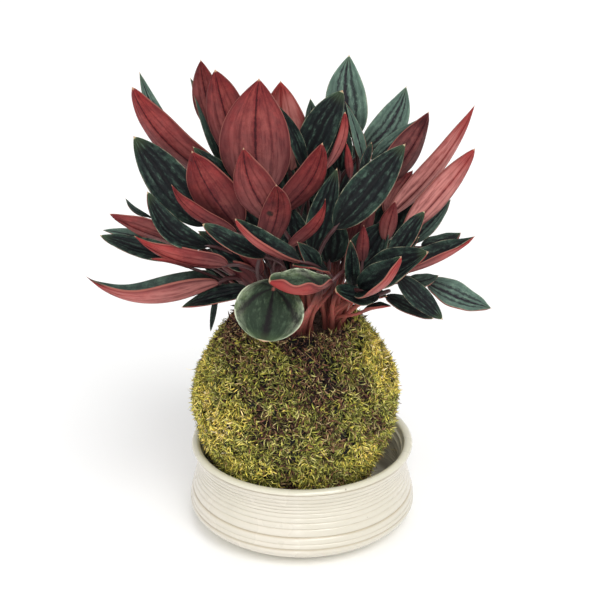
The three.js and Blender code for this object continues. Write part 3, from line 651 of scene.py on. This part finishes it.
def add_strands(build, points, heading, length, width, curl, patch, tone, steps):
    """Curved strands with three sides that taper to a tip, all as one set of faces."""
    count = len(points)
    step = (length / steps)[:, None]
    path, directions = [points], [heading]
    for _ in range(steps):
        path.append(path[-1] + directions[-1] * step)
        directions.append(unit(directions[-1] + curl))
    path, directions = np.stack(path, 1), np.stack(directions, 1)
    across = unit(np.cross(directions, curl[:, None] + [1e-3, 2e-3, 1e-3]))
    out = np.cross(directions, across)
    shape = np.interp(np.arange(steps) / steps, [0, 0.3, 1], [0.6, 1, 0.45])
    turn = np.radians([90, 210, 330])
    flat = 1.25 * np.cos(turn)[:, None] * across[:, :steps, None]
    ring = flat + 0.7 * np.sin(turn)[:, None] * out[:, :steps, None]
    ring = path[:, :steps, None] + ring * (width[:, None, None, None] / 2 * shape[:, None, None])
    vertices = np.concatenate([ring.reshape(count, -1, 3), path[:, -1:]], 1)
    size = 3 * steps + 1
    first = (np.arange(count) * size)[:, None, None]
    quads = (grid_faces(steps, 3)[None] + first).reshape(-1, 4)
    tips = (fan_faces(3 * (steps - 1), 3, size - 1, True)[None] + first).reshape(-1, 3)
    feet = (np.array([[[2, 1, 0]]]) + first).reshape(-1, 3)
    along = np.append(np.repeat(np.arange(steps) / steps, 3), 1)
    build.add(vertices.reshape(-1, 3), [quads, tips, feet],
              patch=np.repeat(patch, size), tone=np.repeat(tone, size), along=np.tile(along, count))


def add_moss(build, count, seed):
    draw = np.random.default_rng(seed)
    points, out = moss_places(count, STRAND.inset, draw)
    clump = Lumps(seed=14, period=6)(points)
    kept = draw.random(count) > 0.7 * smooth(-0.4, -1.3, clump)
    points, out, clump = points[kept], out[kept], clump[kept]
    points = points + out * (CLUMP * clump)[:, None]
    count = len(points)
    random = draw.normal(size=(count, 3))
    tangent = unit(random - out * (random * out).sum(-1, keepdims=True))
    lift = draw.uniform(0.05, 0.8, count)[:, None]
    heading = unit(out * lift + tangent)
    curl = draw.normal(0, STRAND.curl, (count, 3))
    curl = curl + out * draw.normal(-0.05, 0.2, (count, 1)) + [0, 0, -0.05]
    length = draw.uniform(*STRAND.length, count)
    width = draw.uniform(*STRAND.width, count)
    # Painted light and shade on the clumps: strands that rise with a clump are paler, and those that sink
    # are darker.
    tone = np.clip(draw.random(count) + 0.15 * clump, 0, 1)
    add_strands(build, points, heading, length, width, curl, moss_patch(points, draw), tone, STRAND.steps)


def add_fibres(build, count, seed):
    """Long dry fibres that lie on the moss."""
    draw = np.random.default_rng(seed)
    points, out = moss_places(count, FIBRE.inset, draw)
    random = draw.normal(size=(count, 3))
    heading = unit(random - out * (random * out).sum(-1, keepdims=True) + out * 0.1)
    bend = draw.normal(0, FIBRE.curl, (count, 3))
    length = draw.uniform(*FIBRE.length, count)
    curl = bend - out * (length / FIBRE.steps / BALL.radius * 1.4)[:, None]
    width = draw.uniform(*FIBRE.width, count)
    add_strands(build, points, heading, length, width, curl, np.full(count, FIBRE.patch), draw.random(count),
                FIBRE.steps)


def make_moss(material):
    mat = Build()
    add_moss_mat(mat)
    add_fibres(mat, FIBRES, FIBRE_SEED)
    mat.piece("moss_mat", [material], ["moss_cover"])
    for i in range(MOSS_PIECES):
        build = Build()
        add_moss(build, MOSS_STRANDS, MOSS_SEED + i)
        build.piece(f"moss_strands_{i + 1}", [material])


SOIL_SEGMENTS = 160
CRUMBS = 2600
CRUMB_SEED = 31


def soil_height(x, y):
    out = np.hypot(x - BALL.x, y)
    return SOIL.edge + (SOIL.top - SOIL.edge) * np.clip(1 - out / (BALL.mouth - 2), 0, 1)


def lump_solid():
    """Corners and triangles of a crumb: an icosahedron of radius 1."""
    golden = (1 + math.sqrt(5)) / 2
    rectangle = [(-1, golden), (1, golden), (-1, -golden), (1, -golden)]
    corners = [(a, b, 0) for a, b in rectangle]
    corners += [(0, a, b) for a, b in rectangle]
    corners += [(b, 0, a) for a, b in rectangle]
    faces = [(0, 11, 5), (0, 5, 1), (0, 1, 7), (0, 7, 10), (0, 10, 11), (1, 5, 9), (5, 11, 4),
             (11, 10, 2), (10, 7, 6), (7, 1, 8), (3, 9, 4), (3, 4, 2), (3, 2, 6), (3, 6, 8),
             (3, 8, 9), (4, 9, 5), (2, 4, 11), (6, 2, 10), (8, 6, 7), (9, 8, 1)]
    return unit(np.array(corners, float)), np.array(faces)


def make_soil(material):
    def shape(radius, angle, z):
        points = ball_points(radius, angle, z)
        rough = 0.45 * Lumps(seed=8, period=3.2)(points) + 0.35 * Lumps(seed=9, period=1.6)(points)
        return radius, z + np.where(z > SOIL.edge - 0.2, rough, 0)

    side = np.linspace(SOIL.foot + 2, SOIL.edge - 1, 20)
    outside = np.stack([ball_radius(side) - moss_depth(side) - 0.6, side], -1)
    out = np.linspace(BALL.mouth - 0.5, 0.5, 40)
    top = np.stack([out, soil_height(BALL.x + out, 0)], -1)
    profile = np.concatenate([[(0, SOIL.foot)], outside, top, [(0, SOIL.top)]])
    vertices, faces = spun(profile, SOIL_SEGMENTS, shape)
    build = Build()
    build.add(vertices + [BALL.x, 0, 0], faces, tone=0.3)
    draw = np.random.default_rng(CRUMB_SEED)
    out = (BALL.mouth + 1.5) * np.sqrt(draw.random(CRUMBS))
    angle = draw.uniform(0, 2 * np.pi, CRUMBS)
    x, y = BALL.x + out * np.cos(angle), out * np.sin(angle)
    size = draw.uniform(0.3, 1.15, CRUMBS) ** 1.4
    centre = np.stack([x, y, soil_height(x, y) + size * 0.35], -1)
    corners, triangles = lump_solid()
    lumps = corners[None] * draw.uniform(0.6, 1.3, (CRUMBS, len(corners), 1)) * size[:, None, None]
    lumps = lumps * [1, 1, 0.75] + centre[:, None]
    faces = (triangles[None] + (np.arange(CRUMBS) * len(corners))[:, None, None]).reshape(-1, 3)
    build.add(lumps.reshape(-1, 3), [faces], tone=np.repeat(draw.random(CRUMBS), len(corners)))
    build.piece("soil_ball", [material], ["soil_core"])


# ---- dish ----

def dish_radius(z):
    """The outside of the dish without its grooves: foot, belly, waist and rim."""
    below = np.clip((DISH.belly_z - z) / DISH.belly_z, 0, 1)
    rounded = (1 - below**DISH.roundness) ** (1 / DISH.roundness)
    foot = DISH.foot + (DISH.belly - DISH.foot) * rounded
    ease = lambda share: 0.5 - 0.5 * np.cos(np.pi * np.clip(share, 0, 1))
    inwards = (DISH.waist - DISH.belly) * ease((z - DISH.belly_z) / (DISH.waist_z - DISH.belly_z))
    outwards = (DISH.rim - DISH.waist) * ease((z - DISH.waist_z) / (DISH.height - DISH.waist_z))
    return np.where(z < DISH.belly_z, foot, DISH.belly + inwards + outwards)


def groove_depth(z, heights, depths):
    """How far the ribbed wall lies under its crowns: deepest at each groove, soon back to nothing."""
    heights, order = np.sort(heights), np.argsort(heights)
    depths = np.asarray(depths)[order]
    z = np.clip(z, heights[0], heights[-1])
    at = np.clip(np.searchsorted(heights, z, side="right") - 1, 0, len(heights) - 2)
    share = (z - heights[at]) / (heights[at + 1] - heights[at])
    crown = (4 * share * (1 - share)) ** 0.42
    deep = np.where(share < 0.5, depths[at], depths[at + 1])
    return deep * (1 - crown)


def groove_wobble(angle):
    """How far the grooves of a hand-thrown dish rise and fall on their way round."""
    return 0.16 * np.sin(angle + 0.6) + 0.1 * np.sin(2 * angle + 2.2) + 0.05 * np.sin(5 * angle)


def dish_profile():
    top, wall, floor, bend = DISH.height, DISH.wall, DISH.floor, DISH.bend
    foot_z = np.array([0.06, 0.2, 0.5, 1, 1.7, 2.6, 3.8, 5.2, 6.8, 8.4, 10, 11])
    outside_z = np.linspace(GROOVES[0] - 0.5, GROOVES[-1] + 0.6, 150)
    turn = np.linspace(0.05, 0.95, 22) * math.pi
    lip_radius = DISH.rim - wall / 2 + (wall / 2 + 0.25) * np.cos(turn)
    inside_z = np.linspace(top - 3.2, floor + bend, 90)
    down = np.linspace(0, math.pi / 2, 14)[1:]
    bowl_radius = dish_radius(np.array(floor + bend)) - wall - bend
    return np.concatenate([
        [(0, 0), (DISH.foot - 1, 0), (DISH.foot, 0)],
        np.stack([dish_radius(foot_z), foot_z], -1),
        np.stack([dish_radius(outside_z), outside_z], -1),
        np.stack([lip_radius, top - DISH.lip + DISH.lip * np.sin(turn)], -1),
        np.stack([dish_radius(inside_z) - wall, inside_z], -1),
        np.stack([bowl_radius + bend * np.cos(down), floor + bend - bend * np.sin(down)], -1),
        [(30, floor), (12, floor), (0, floor)],
    ])


def make_dish(material):
    depths = [DEEP_GROOVE.depth if z == DEEP_GROOVE.z else GROOVE_DEPTH for z in GROOVES]
    inner = np.linspace(INNER_GROOVES.low, INNER_GROOVES.high, INNER_GROOVES.count)
    inner_depths = [INNER_GROOVES.depth] * len(inner)
    grooves = []

    def shape(radius, angle, z):
        moved = z + groove_wobble(angle)
        on_wall = (z > GROOVES[0] - 0.6) * (z < GROOVES[-1] + 0.9)
        outward = groove_depth(moved, GROOVES, depths) * on_wall
        on_inside = (z > DISH.floor + DISH.bend - 0.1) * (z < INNER_GROOVES.high + 0.5)
        inward = groove_depth(moved, inner, inner_depths) * on_inside
        grooves.append(np.where(radius > dish_radius(z) - DISH.wall / 2, outward, inward))
        thrown = 0.12 * np.sin(2 * angle + 1) + 0.08 * np.sin(3 * angle + z * 0.2)
        return radius - grooves[0] + thrown * smooth(0, 8, z), z

    vertices, faces = spun(dish_profile(), DISH_SEGMENTS, shape)
    build = Build()
    build.add(vertices, faces, groove=np.append(grooves[0].ravel(), [0, 0]))
    build.piece("glazed_dish", [material], ["dish"])


# ---- materials ----

def srgb(red, green, blue):
    """A screen colour of 0 to 255 as shaders take it."""
    level = [c / 255 for c in (red, green, blue)]
    return tuple(c / 12.92 if c < 0.04045 else ((c + 0.055) / 1.055) ** 2.4 for c in level) + (1.0,)


class Shader:
    """A node material written as expressions."""

    def __init__(self, name):
        self.material = bpy.data.materials.new(name)
        self.material.use_nodes = True
        self.tree = self.material.node_tree
        self.surface = self.tree.nodes["Principled BSDF"]

    def node(self, kind, inputs=None, **settings):
        made = self.tree.nodes.new(f"ShaderNode{kind}")
        for key, value in settings.items():
            setattr(made, key, value)
        for key, value in (inputs or {}).items():
            self.put(made.inputs[key], value)
        return made

    def put(self, socket, value):
        if isinstance(value, bpy.types.NodeSocket):
            self.tree.links.new(value, socket)
        else:
            socket.default_value = value

    def number(self, name):
        return self.node("Attribute", attribute_name=name).outputs["Fac"]

    def vector(self, name):
        return self.node("Attribute", attribute_name=name).outputs["Vector"]

    def here(self):
        return self.node("TexCoord").outputs["Object"]

    def scaled(self, vector, scale):
        return self.node("Mapping", {"Vector": vector, "Scale": scale}).outputs["Vector"]

    def noise(self, vector, scale, detail=3.0, roughness=0.55):
        inputs = {"Vector": vector, "Scale": scale, "Detail": detail, "Roughness": roughness}
        return self.node("TexNoise", inputs).outputs["Fac"]

    def maths(self, operation, *values):
        made = self.node("Math", operation=operation)
        for socket, value in zip(made.inputs, values):
            self.put(socket, value)
        return made.outputs[0]

    def times(self, first, second):
        return self.maths("MULTIPLY", first, second)

    def plus(self, first, second):
        return self.maths("ADD", first, second)

    def fit(self, value, low, high, to_low=0.0, to_high=1.0):
        inputs = {"Value": value, "From Min": low, "From Max": high, "To Min": to_low, "To Max": to_high}
        return self.node("MapRange", inputs, interpolation_type="SMOOTHSTEP").outputs["Result"]

    def ramp(self, value, stops, interpolation="LINEAR"):
        made = self.node("ValToRGB", {"Fac": value})
        made.color_ramp.interpolation = interpolation
        while len(made.color_ramp.elements) < len(stops):
            made.color_ramp.elements.new(0.5)
        for element, (at, colour) in zip(made.color_ramp.elements, stops):
            element.position = at
            element.color = colour if isinstance(colour, tuple) else (colour, colour, colour, 1)
        return made.outputs["Color"]

    def mix(self, share, first, second, blend_type="MIX"):
        made = self.node("Mix", data_type="RGBA", blend_type=blend_type)
        for socket, value in zip((made.inputs[0], made.inputs[6], made.inputs[7]), (share, first, second)):
            self.put(socket, value)
        return made.outputs[2]

    def layers(self, colour, *coats):
        """A colour under coats of paint, each one a pair: how much it covers, and its screen colour."""
        for share, coat in coats:
            colour = self.mix(share, colour, srgb(*coat))
        return colour

    def bump(self, height, strength, distance):
        inputs = {"Height": height, "Strength": strength, "Distance": distance}
        return self.node("Bump", inputs).outputs["Normal"]

    def finish(self, **inputs):
        for key, value in inputs.items():
            self.put(self.surface.inputs[key.replace("_", " ")], value)
        return self.material


def vein_bands(shader, widths, weights, ragged):
    """How much of a main vein a point has: its weight on the vein and 0 beyond its width, in half widths.
    Ragged is how far its edges stray. Only broad leaves show the veins beside the midrib."""
    rough = shader.noise(shader.scaled(shader.vector("place"), (1.0, 0.6, 1.0)), 0.7, 4.0, 0.7)
    stray = shader.fit(rough, 0.3, 0.7, -ragged, ragged)
    veins = shader.plus(shader.maths("ABSOLUTE", shader.number("veins")), stray)
    bands = 0.0
    for at, width, weight in zip(VEINS, widths, weights):
        away = shader.maths("ABSOLUTE", shader.maths("SUBTRACT", veins, at))
        band = shader.fit(away, 0.15 * width, width, weight, 0.0)
        shown = shader.times(band, shader.number("broad")) if at else band
        bands = shader.maths("MAXIMUM", bands, shown)
    return bands


def leaf_top():
    """Nearly black green, with painted sheen in silvery patches between dark veins; paler and greyer where
    the leaf is painted as lit, and darker towards the joint as painted shade.
    """
    shader = Shader("leaf_top")
    place, along, across = shader.vector("place"), shader.number("along"), shader.number("across")
    round_leaf = shader.number("round")
    # Painted light: a leaf whose face level is set higher is coloured paler and greyer, as if it faces the
    # light.
    lit_face = shader.fit(shader.number("face"), 0.3, 1.0)
    wide = vein_bands(shader, (0.19, 0.13, 0.08), (1.0, 0.8, 0.2), 0.07)
    thin = vein_bands(shader, (0.085, 0.08, 0.06), (1.0, 0.9, 0.75), 0.02)
    change = shader.maths("SUBTRACT", thin, wide)
    bands = shader.maths("MULTIPLY_ADD", change, round_leaf, wide)
    clouds = shader.noise(place, 0.2, 4.0, 0.7)
    patches = shader.noise(shader.scaled(place, (1.0, 0.34, 1.0)), 0.8, 5.0, 0.65)
    wrinkles = shader.noise(shader.scaled(place, (0.5, 1.4, 1)), 1.1, 4.0, 0.6)
    veins = shader.maths("ABSOLUTE", shader.number("veins"))
    # Where the painted sheen sits across the veins: on the ridges between them.
    rows = shader.ramp(veins, [(0.0, 0.0), (0.12, 0.5), (0.2, 1.0), (0.3, 0.7), (0.41, 0.15), (0.5, 0.7),
                               (0.58, 1.0), (0.72, 0.3), (0.88, 0.8), (1.0, 0.6)], "B_SPLINE")
    # Painted sheen: silvery patches on those ridges, broken up by noise.
    ridge_sheen = shader.times(shader.fit(patches, 0.43, 0.68), shader.fit(clouds, 0.4, 0.62, 0.3, 1.0))
    ridge_sheen = shader.times(ridge_sheen, shader.times(shader.maths("SUBTRACT", 1.0, bands), rows))

    # Each tone: the leaf's own colour, its paler painted-light colour, and the round leaf's colour.
    def tone(dark_leaf, lit_leaf, round_one):
        return shader.layers(srgb(*dark_leaf), (lit_face, lit_leaf), (round_leaf, round_one))

    green = tone((48, 72, 60), (110, 138, 122), (100, 118, 76))
    margin = shader.times(shader.fit(across, 0.5, 0.95, 0.0, 0.7), shader.fit(clouds, 0.4, 0.62, 0.1, 1.0))
    colour = shader.mix(margin, tone((11, 18, 21), (82, 104, 94), (34, 48, 34)), green)
    # the painted sheen's colour
    colour = shader.mix(ridge_sheen, colour, tone((74, 98, 84), (124, 150, 132), (84, 104, 80)))
    colour = shader.mix(bands, colour, tone((7, 8, 12), (34, 31, 38), (16, 12, 14)))
    colour = shader.layers(colour, (shader.times(shader.fit(along, 0.82, 1.0), 0.22), (104, 128, 84)))
    # Painted shade: darker towards the joint, in the shadow of the leaves above.
    shade = shader.fit(along, 0.0, 0.4, 0.45, 1.0)
    colour = shader.mix(1.0, colour, shader.ramp(shade, [(0.0, 0.0), (1.0, 1.0)]), "MULTIPLY")
    edge = shader.times(shader.fit(across, 0.94, 0.985), shader.fit(patches, 0.42, 0.6, 0.1, 0.85))
    frost = shader.times(shader.fit(across, 0.6, 1.0, 0.0, 0.32), shader.fit(patches, 0.36, 0.62, 0.1, 1.0))
    edge = shader.maths("MULTIPLY_ADD", frost, round_leaf, edge)
    colour = shader.mix(edge, colour, shader.mix(round_leaf, srgb(158, 158, 132), srgb(196, 206, 178)))
    tip = shader.fit(along, 0.975, 0.995)
    colour = shader.layers(colour, (tip, (206, 198, 158)), (shader.number("spot"), (164, 92, 82)))
    height = shader.plus(shader.times(wrinkles, 0.7), shader.noise(place, 2.4, 2.0))
    return shader.finish(
        Base_Color=colour,
        Roughness=shader.fit(wrinkles, 0.2, 0.8, 0.56, 0.42),
        Normal=shader.bump(height, 0.4, 0.0006),
        Specular_IOR_Level=0.17,
    )


def leaf_underside():
    """Wine red with thin dark veins, redder towards the tip and darker at the joint, which is painted light
    and shade along the blade. On some leaves the panels between the veins are pale pink, partly a painted
    highlight."""
    shader = Shader("leaf_underside")
    place, along, across = shader.vector("place"), shader.number("along"), shader.number("across")
    mottle = shader.noise(place, 0.16, 5.0, 0.7)
    fine = shader.noise(place, 1.3, 3.0, 0.6)
    brushed = shader.noise(shader.scaled(place, (1.0, 0.16, 1)), 0.6, 4.0, 0.6)
    redness = shader.number("back")
    for stain, less, more in ((mottle, -0.16, 0.16), (brushed, -0.07, 0.09), (fine, -0.04, 0.05)):
        redness = shader.plus(redness, shader.fit(stain, 0.3, 0.7, less, more))
    # Painted light and shade: brighter and redder towards the tip, darker at the joint in the bush's shade.
    redness = shader.times(redness, shader.fit(along, -0.05, 0.75, 0.22, 1.16))
    colour = shader.ramp(redness, [(0.0, srgb(34, 13, 18)), (0.36, srgb(86, 28, 33)),
                                   (0.7, srgb(120, 37, 40)), (1.0, srgb(152, 48, 47))])
    # A paler brown-pink mottle, strongest towards the midrib.
    pink_mottle = shader.times(shader.fit(mottle, 0.46, 0.66), shader.fit(across, 0.75, 0.2, 0.0, 0.22))
    veins = shader.maths("ABSOLUTE", shader.number("veins"))
    panels = shader.ramp(veins, [(0.0, 0.0), (0.06, 0.6), (0.13, 1.0), (0.37, 0.9), (0.41, 0.55),
                                 (0.45, 0.9), (0.66, 1.0), (0.85, 0.7), (1.0, 0.2)], "B_SPLINE")
    streaks = shader.number("streaks")
    # Pale pink panels between the veins on streaked leaves, strongest towards the tip: partly the leaf's
    # colour, partly a painted highlight.
    pale = shader.times(panels, shader.fit(brushed, 0.3, 0.62, 0.35, 1.0))
    pale = shader.times(shader.times(pale, streaks), shader.fit(along, 1.0, 0.62, 0.05, 1.0))
    lines = vein_bands(shader, (0.04, 0.045, 0.04), (0.85, 0.34, 0.0), 0.014)
    lines = shader.times(lines, shader.fit(streaks, 0.2, 1.0, 1.0, 0.55))
    colour = shader.layers(
        colour,
        (pink_mottle, (150, 94, 84)),
        (pale, (200, 132, 125)),
        (lines, (46, 18, 24)),
        (shader.times(shader.fit(across, 0.72, 0.96), 0.42), (64, 26, 30)),  # a dark margin
        (shader.times(shader.fit(across, 0.965, 0.99), 0.5), (176, 112, 98)),  # a thin pale edge
        (shader.fit(along, 0.98, 0.996), (190, 150, 122)),  # and tip
        (shader.number("spot"), (52, 36, 32)),
    )
    height = shader.plus(fine, shader.times(brushed, 0.8))
    return shader.finish(
        Base_Color=colour,
        Roughness=shader.fit(mottle, 0.25, 0.75, 0.54, 0.44),
        Normal=shader.bump(height, 0.25, 0.0005),
        Specular_IOR_Level=0.13,
    )


def stalk_material():
    shader = Shader("leaf_stalk")
    place, along = shader.vector("place"), shader.number("along")
    mottle = shader.noise(place, 0.5, 4.0, 0.6)
    pink = shader.mix(shader.number("back"), srgb(118, 58, 57), srgb(190, 98, 92))
    height = shader.node("SeparateXYZ", {"Vector": shader.here()}).outputs[2]
    colour = shader.layers(
        pink,
        (shader.fit(mottle, 0.35, 0.7), (150, 92, 74)),
        (shader.fit(along, 0.0, 0.3, 0.75, 0.0), (86, 50, 45)),  # at the root
        # painted shade: the stalks darken up among the blades
        (shader.fit(height, 0.124, 0.142, 0.0, 0.92), (44, 20, 26)),  # dark up among the blades
    )
    grain = shader.noise(shader.scaled(place, (1, 1, 0.25)), 2.0, 3.0)
    return shader.finish(Base_Color=colour, Roughness=0.42, Normal=shader.bump(grain, 0.2, 0.0003))


def stem_material():
    shader = Shader("stem_bark")
    place = shader.vector("place")
    rough = shader.noise(place, 1.1, 5.0, 0.65)
    colour = shader.mix(shader.fit(rough, 0.35, 0.65), srgb(44, 26, 22), srgb(104, 62, 52))
    return shader.finish(Base_Color=colour, Roughness=0.8, Normal=shader.bump(rough, 0.6, 0.0008))


def moss_material():
    shader = Shader("moss")
    here, along, tone = shader.here(), shader.number("along"), shader.number("tone")
    share = shader.maths("MULTIPLY_ADD", shader.number("patch"), 0.3, 0.48)
    colour = shader.ramp(share, [
        (0.0, srgb(30, 18, 21)), (0.16, srgb(98, 60, 56)), (0.27, srgb(150, 106, 78)),
        (0.36, srgb(126, 132, 68)), (0.52, srgb(180, 180, 82)), (0.66, srgb(222, 208, 92)),
        (0.82, srgb(240, 208, 100)), (1.0, srgb(236, 222, 190)),
    ])
    straw = shader.times(shader.fit(tone, 0.85, 1.0), 0.4)
    colour = shader.layers(colour, (straw, (224, 208, 150)))
    # Painted shade: each strand darkens towards its root, deep in the moss. Its tone adds random brightness,
    # along with the clumps' painted light and shade.
    bright = shader.fit(tone, 0.0, 1.0, 0.3, 1.75)
    shade = shader.times(shader.fit(along, 0.0, 0.7, 0.16, 1.1), bright)
    colour = shader.mix(1.0, colour, shade, "MULTIPLY")
    grain = shader.noise(here, 1800.0, 3.0)
    colour = shader.mix(0.3, colour, shader.ramp(grain, [(0.3, 0.35), (0.7, 1.0)]), "MULTIPLY")
    return shader.finish(
        Base_Color=colour,
        Roughness=0.72,
        Specular_IOR_Level=0.3,
        Normal=shader.bump(grain, 0.4, 0.0003),
    )


def soil_material():
    shader = Shader("dark_soil")
    here = shader.here()
    grain = shader.noise(here, 900.0, 5.0, 0.7)
    pale = shader.fit(grain, 0.35, 0.7)
    colour = shader.layers(srgb(26, 18, 15), (shader.number("tone"), (66, 44, 33)), (pale, (82, 58, 44)))
    return shader.finish(Base_Color=colour, Roughness=0.9, Normal=shader.bump(grain, 0.8, 0.0006))


def glaze_material():
    shader = Shader("cream_glaze")
    here = shader.here()
    cloud = shader.noise(here, 22.0, 3.0)
    cream = shader.mix(shader.fit(cloud, 0.35, 0.65), srgb(217, 210, 196), srgb(210, 204, 188))
    x, y, z = shader.node("SeparateXYZ", {"Vector": here}).outputs
    groove = shader.fit(shader.number("groove"), 0.12, 0.9)
    out = shader.maths("SQRT", shader.plus(shader.times(x, x), shader.times(y, y)))
    # Painted light: the inner wall is coloured paler than the outside, though it is the same glaze, so that
    # it looks lit where the ball shades it.
    inside = shader.fit(out, 0.0535, 0.0548, 1.0, 0.0)
    specks = shader.node("TexVoronoi", {"Vector": here, "Scale": 150.0, "Randomness": 1.0})
    rare = shader.node("TexWhiteNoise", {"Vector": specks.outputs["Color"]}).outputs["Value"]
    dot = shader.fit(specks.outputs["Distance"], 0.03, 0.09, 1.0, 0.0)
    dot = shader.times(dot, shader.maths("GREATER_THAN", rare, 0.86))
    colour = shader.layers(
        cream,
        (shader.times(groove, 0.8), (190, 176, 150)),
        # painted light on the inner wall, less in its grooves
        (shader.times(inside, shader.fit(groove, 0.0, 1.0, 1.0, 0.3)), (246, 240, 222)),
        (shader.times(shader.fit(z, 0.0415, 0.0432), 0.55), (214, 212, 188)),  # the lip
        (shader.times(dot, 0.7), (120, 104, 84)),
    )
    ripple = shader.noise(shader.scaled(here, (1, 1, 9)), 90.0, 3.0)
    return shader.finish(
        Base_Color=colour,
        Roughness=shader.fit(cloud, 0.3, 0.7, 0.3, 0.22),
        Coat_Weight=0.5,
        Coat_Roughness=0.12,
        Normal=shader.bump(ripple, 0.12, 0.0006),
    )


# ---- floor, light and camera ----

def floor_material():
    shader = Shader("pale_floor")
    grain = shader.noise(shader.here(), 6.0, 2.0)
    colour = shader.mix(shader.fit(grain, 0.3, 0.7), (0.93, 0.93, 0.925, 1), (0.945, 0.945, 0.94, 1))
    return shader.finish(Base_Color=colour, Roughness=0.8)


FLOOR_HALF = 60.0  # in metres, so that no view shows its edge


def make_floor():
    mesh = bpy.data.meshes.new("floor")
    corners = [(x * FLOOR_HALF, y * FLOOR_HALF, 0) for x, y in ((-1, -1), (1, -1), (1, 1), (-1, 1))]
    mesh.from_pydata(corners, [], [(0, 1, 2, 3)])
    mesh.materials.append(floor_material())
    floor = bpy.data.objects.new("floor", mesh)
    bpy.context.scene.collection.objects.link(floor)


def aimed(made, place, target):
    made.location = [c * MM for c in place]
    way = np.array(target, float) - np.array(place, float)
    made.rotation_euler = (math.atan2(math.hypot(way[0], way[1]), -way[2]), 0, math.atan2(-way[0], way[1]))
    bpy.context.scene.collection.objects.link(made)
    return made


# Degrees down from the zenith, degrees about the vertical (0 is from the front), how wide and how strong.
SUNS = {
    "key": (40, 26, 36, 1.6),
    "fill": (58, -50, 70, 0.45),
    "back": (28, 165, 50, 0.4),
}
SOFTBOX = Named(place=(-60, -900, 420), target=(0, 0, 40), size=(60, 700), watts=0.9)
WORLD = 0.62


def make_lights():
    for name, (down, turn, width, strength) in SUNS.items():
        light = bpy.data.lights.new(name, "SUN")
        light.energy = strength
        light.angle = math.radians(width)
        sun = bpy.data.objects.new(name, light)
        sun.rotation_euler = (math.radians(down), 0, math.radians(turn))
        bpy.context.scene.collection.objects.link(sun)
    light = bpy.data.lights.new("softbox", "AREA")
    light.shape = "RECTANGLE"
    light.size, light.size_y = (c * MM for c in SOFTBOX.size)
    light.energy = SOFTBOX.watts
    aimed(bpy.data.objects.new("softbox", light), SOFTBOX.place, SOFTBOX.target)
    world = bpy.data.worlds.new("studio")
    world.use_nodes = True
    background = world.node_tree.nodes["Background"].inputs
    background["Color"].default_value = (1, 1, 1, 1)
    background["Strength"].default_value = WORLD
    bpy.context.scene.world = world
    bpy.context.scene.view_settings.view_transform = "Standard"


FRAME_PX = 600
CAMERA = Named(place=(0, -544.8, 340), dip=21.95, focal_px=1172, middle_px=302)


def make_camera():
    data = bpy.data.cameras.new("camera")
    data.sensor_width = 36
    data.lens = data.sensor_width * CAMERA.focal_px / FRAME_PX
    data.shift_x = (FRAME_PX / 2 - CAMERA.middle_px) / FRAME_PX
    camera = bpy.data.objects.new("camera", data)
    camera.location = [c * MM for c in CAMERA.place]
    camera.rotation_euler = (math.radians(90 - CAMERA.dip), 0, 0)
    bpy.context.scene.collection.objects.link(camera)
    bpy.context.scene.camera = camera


make_dish(glaze_material())
make_soil(soil_material())
make_moss(moss_material())
make_plant([leaf_top(), leaf_underside(), stalk_material(), stem_material()])
make_floor()
make_lights()
make_camera()
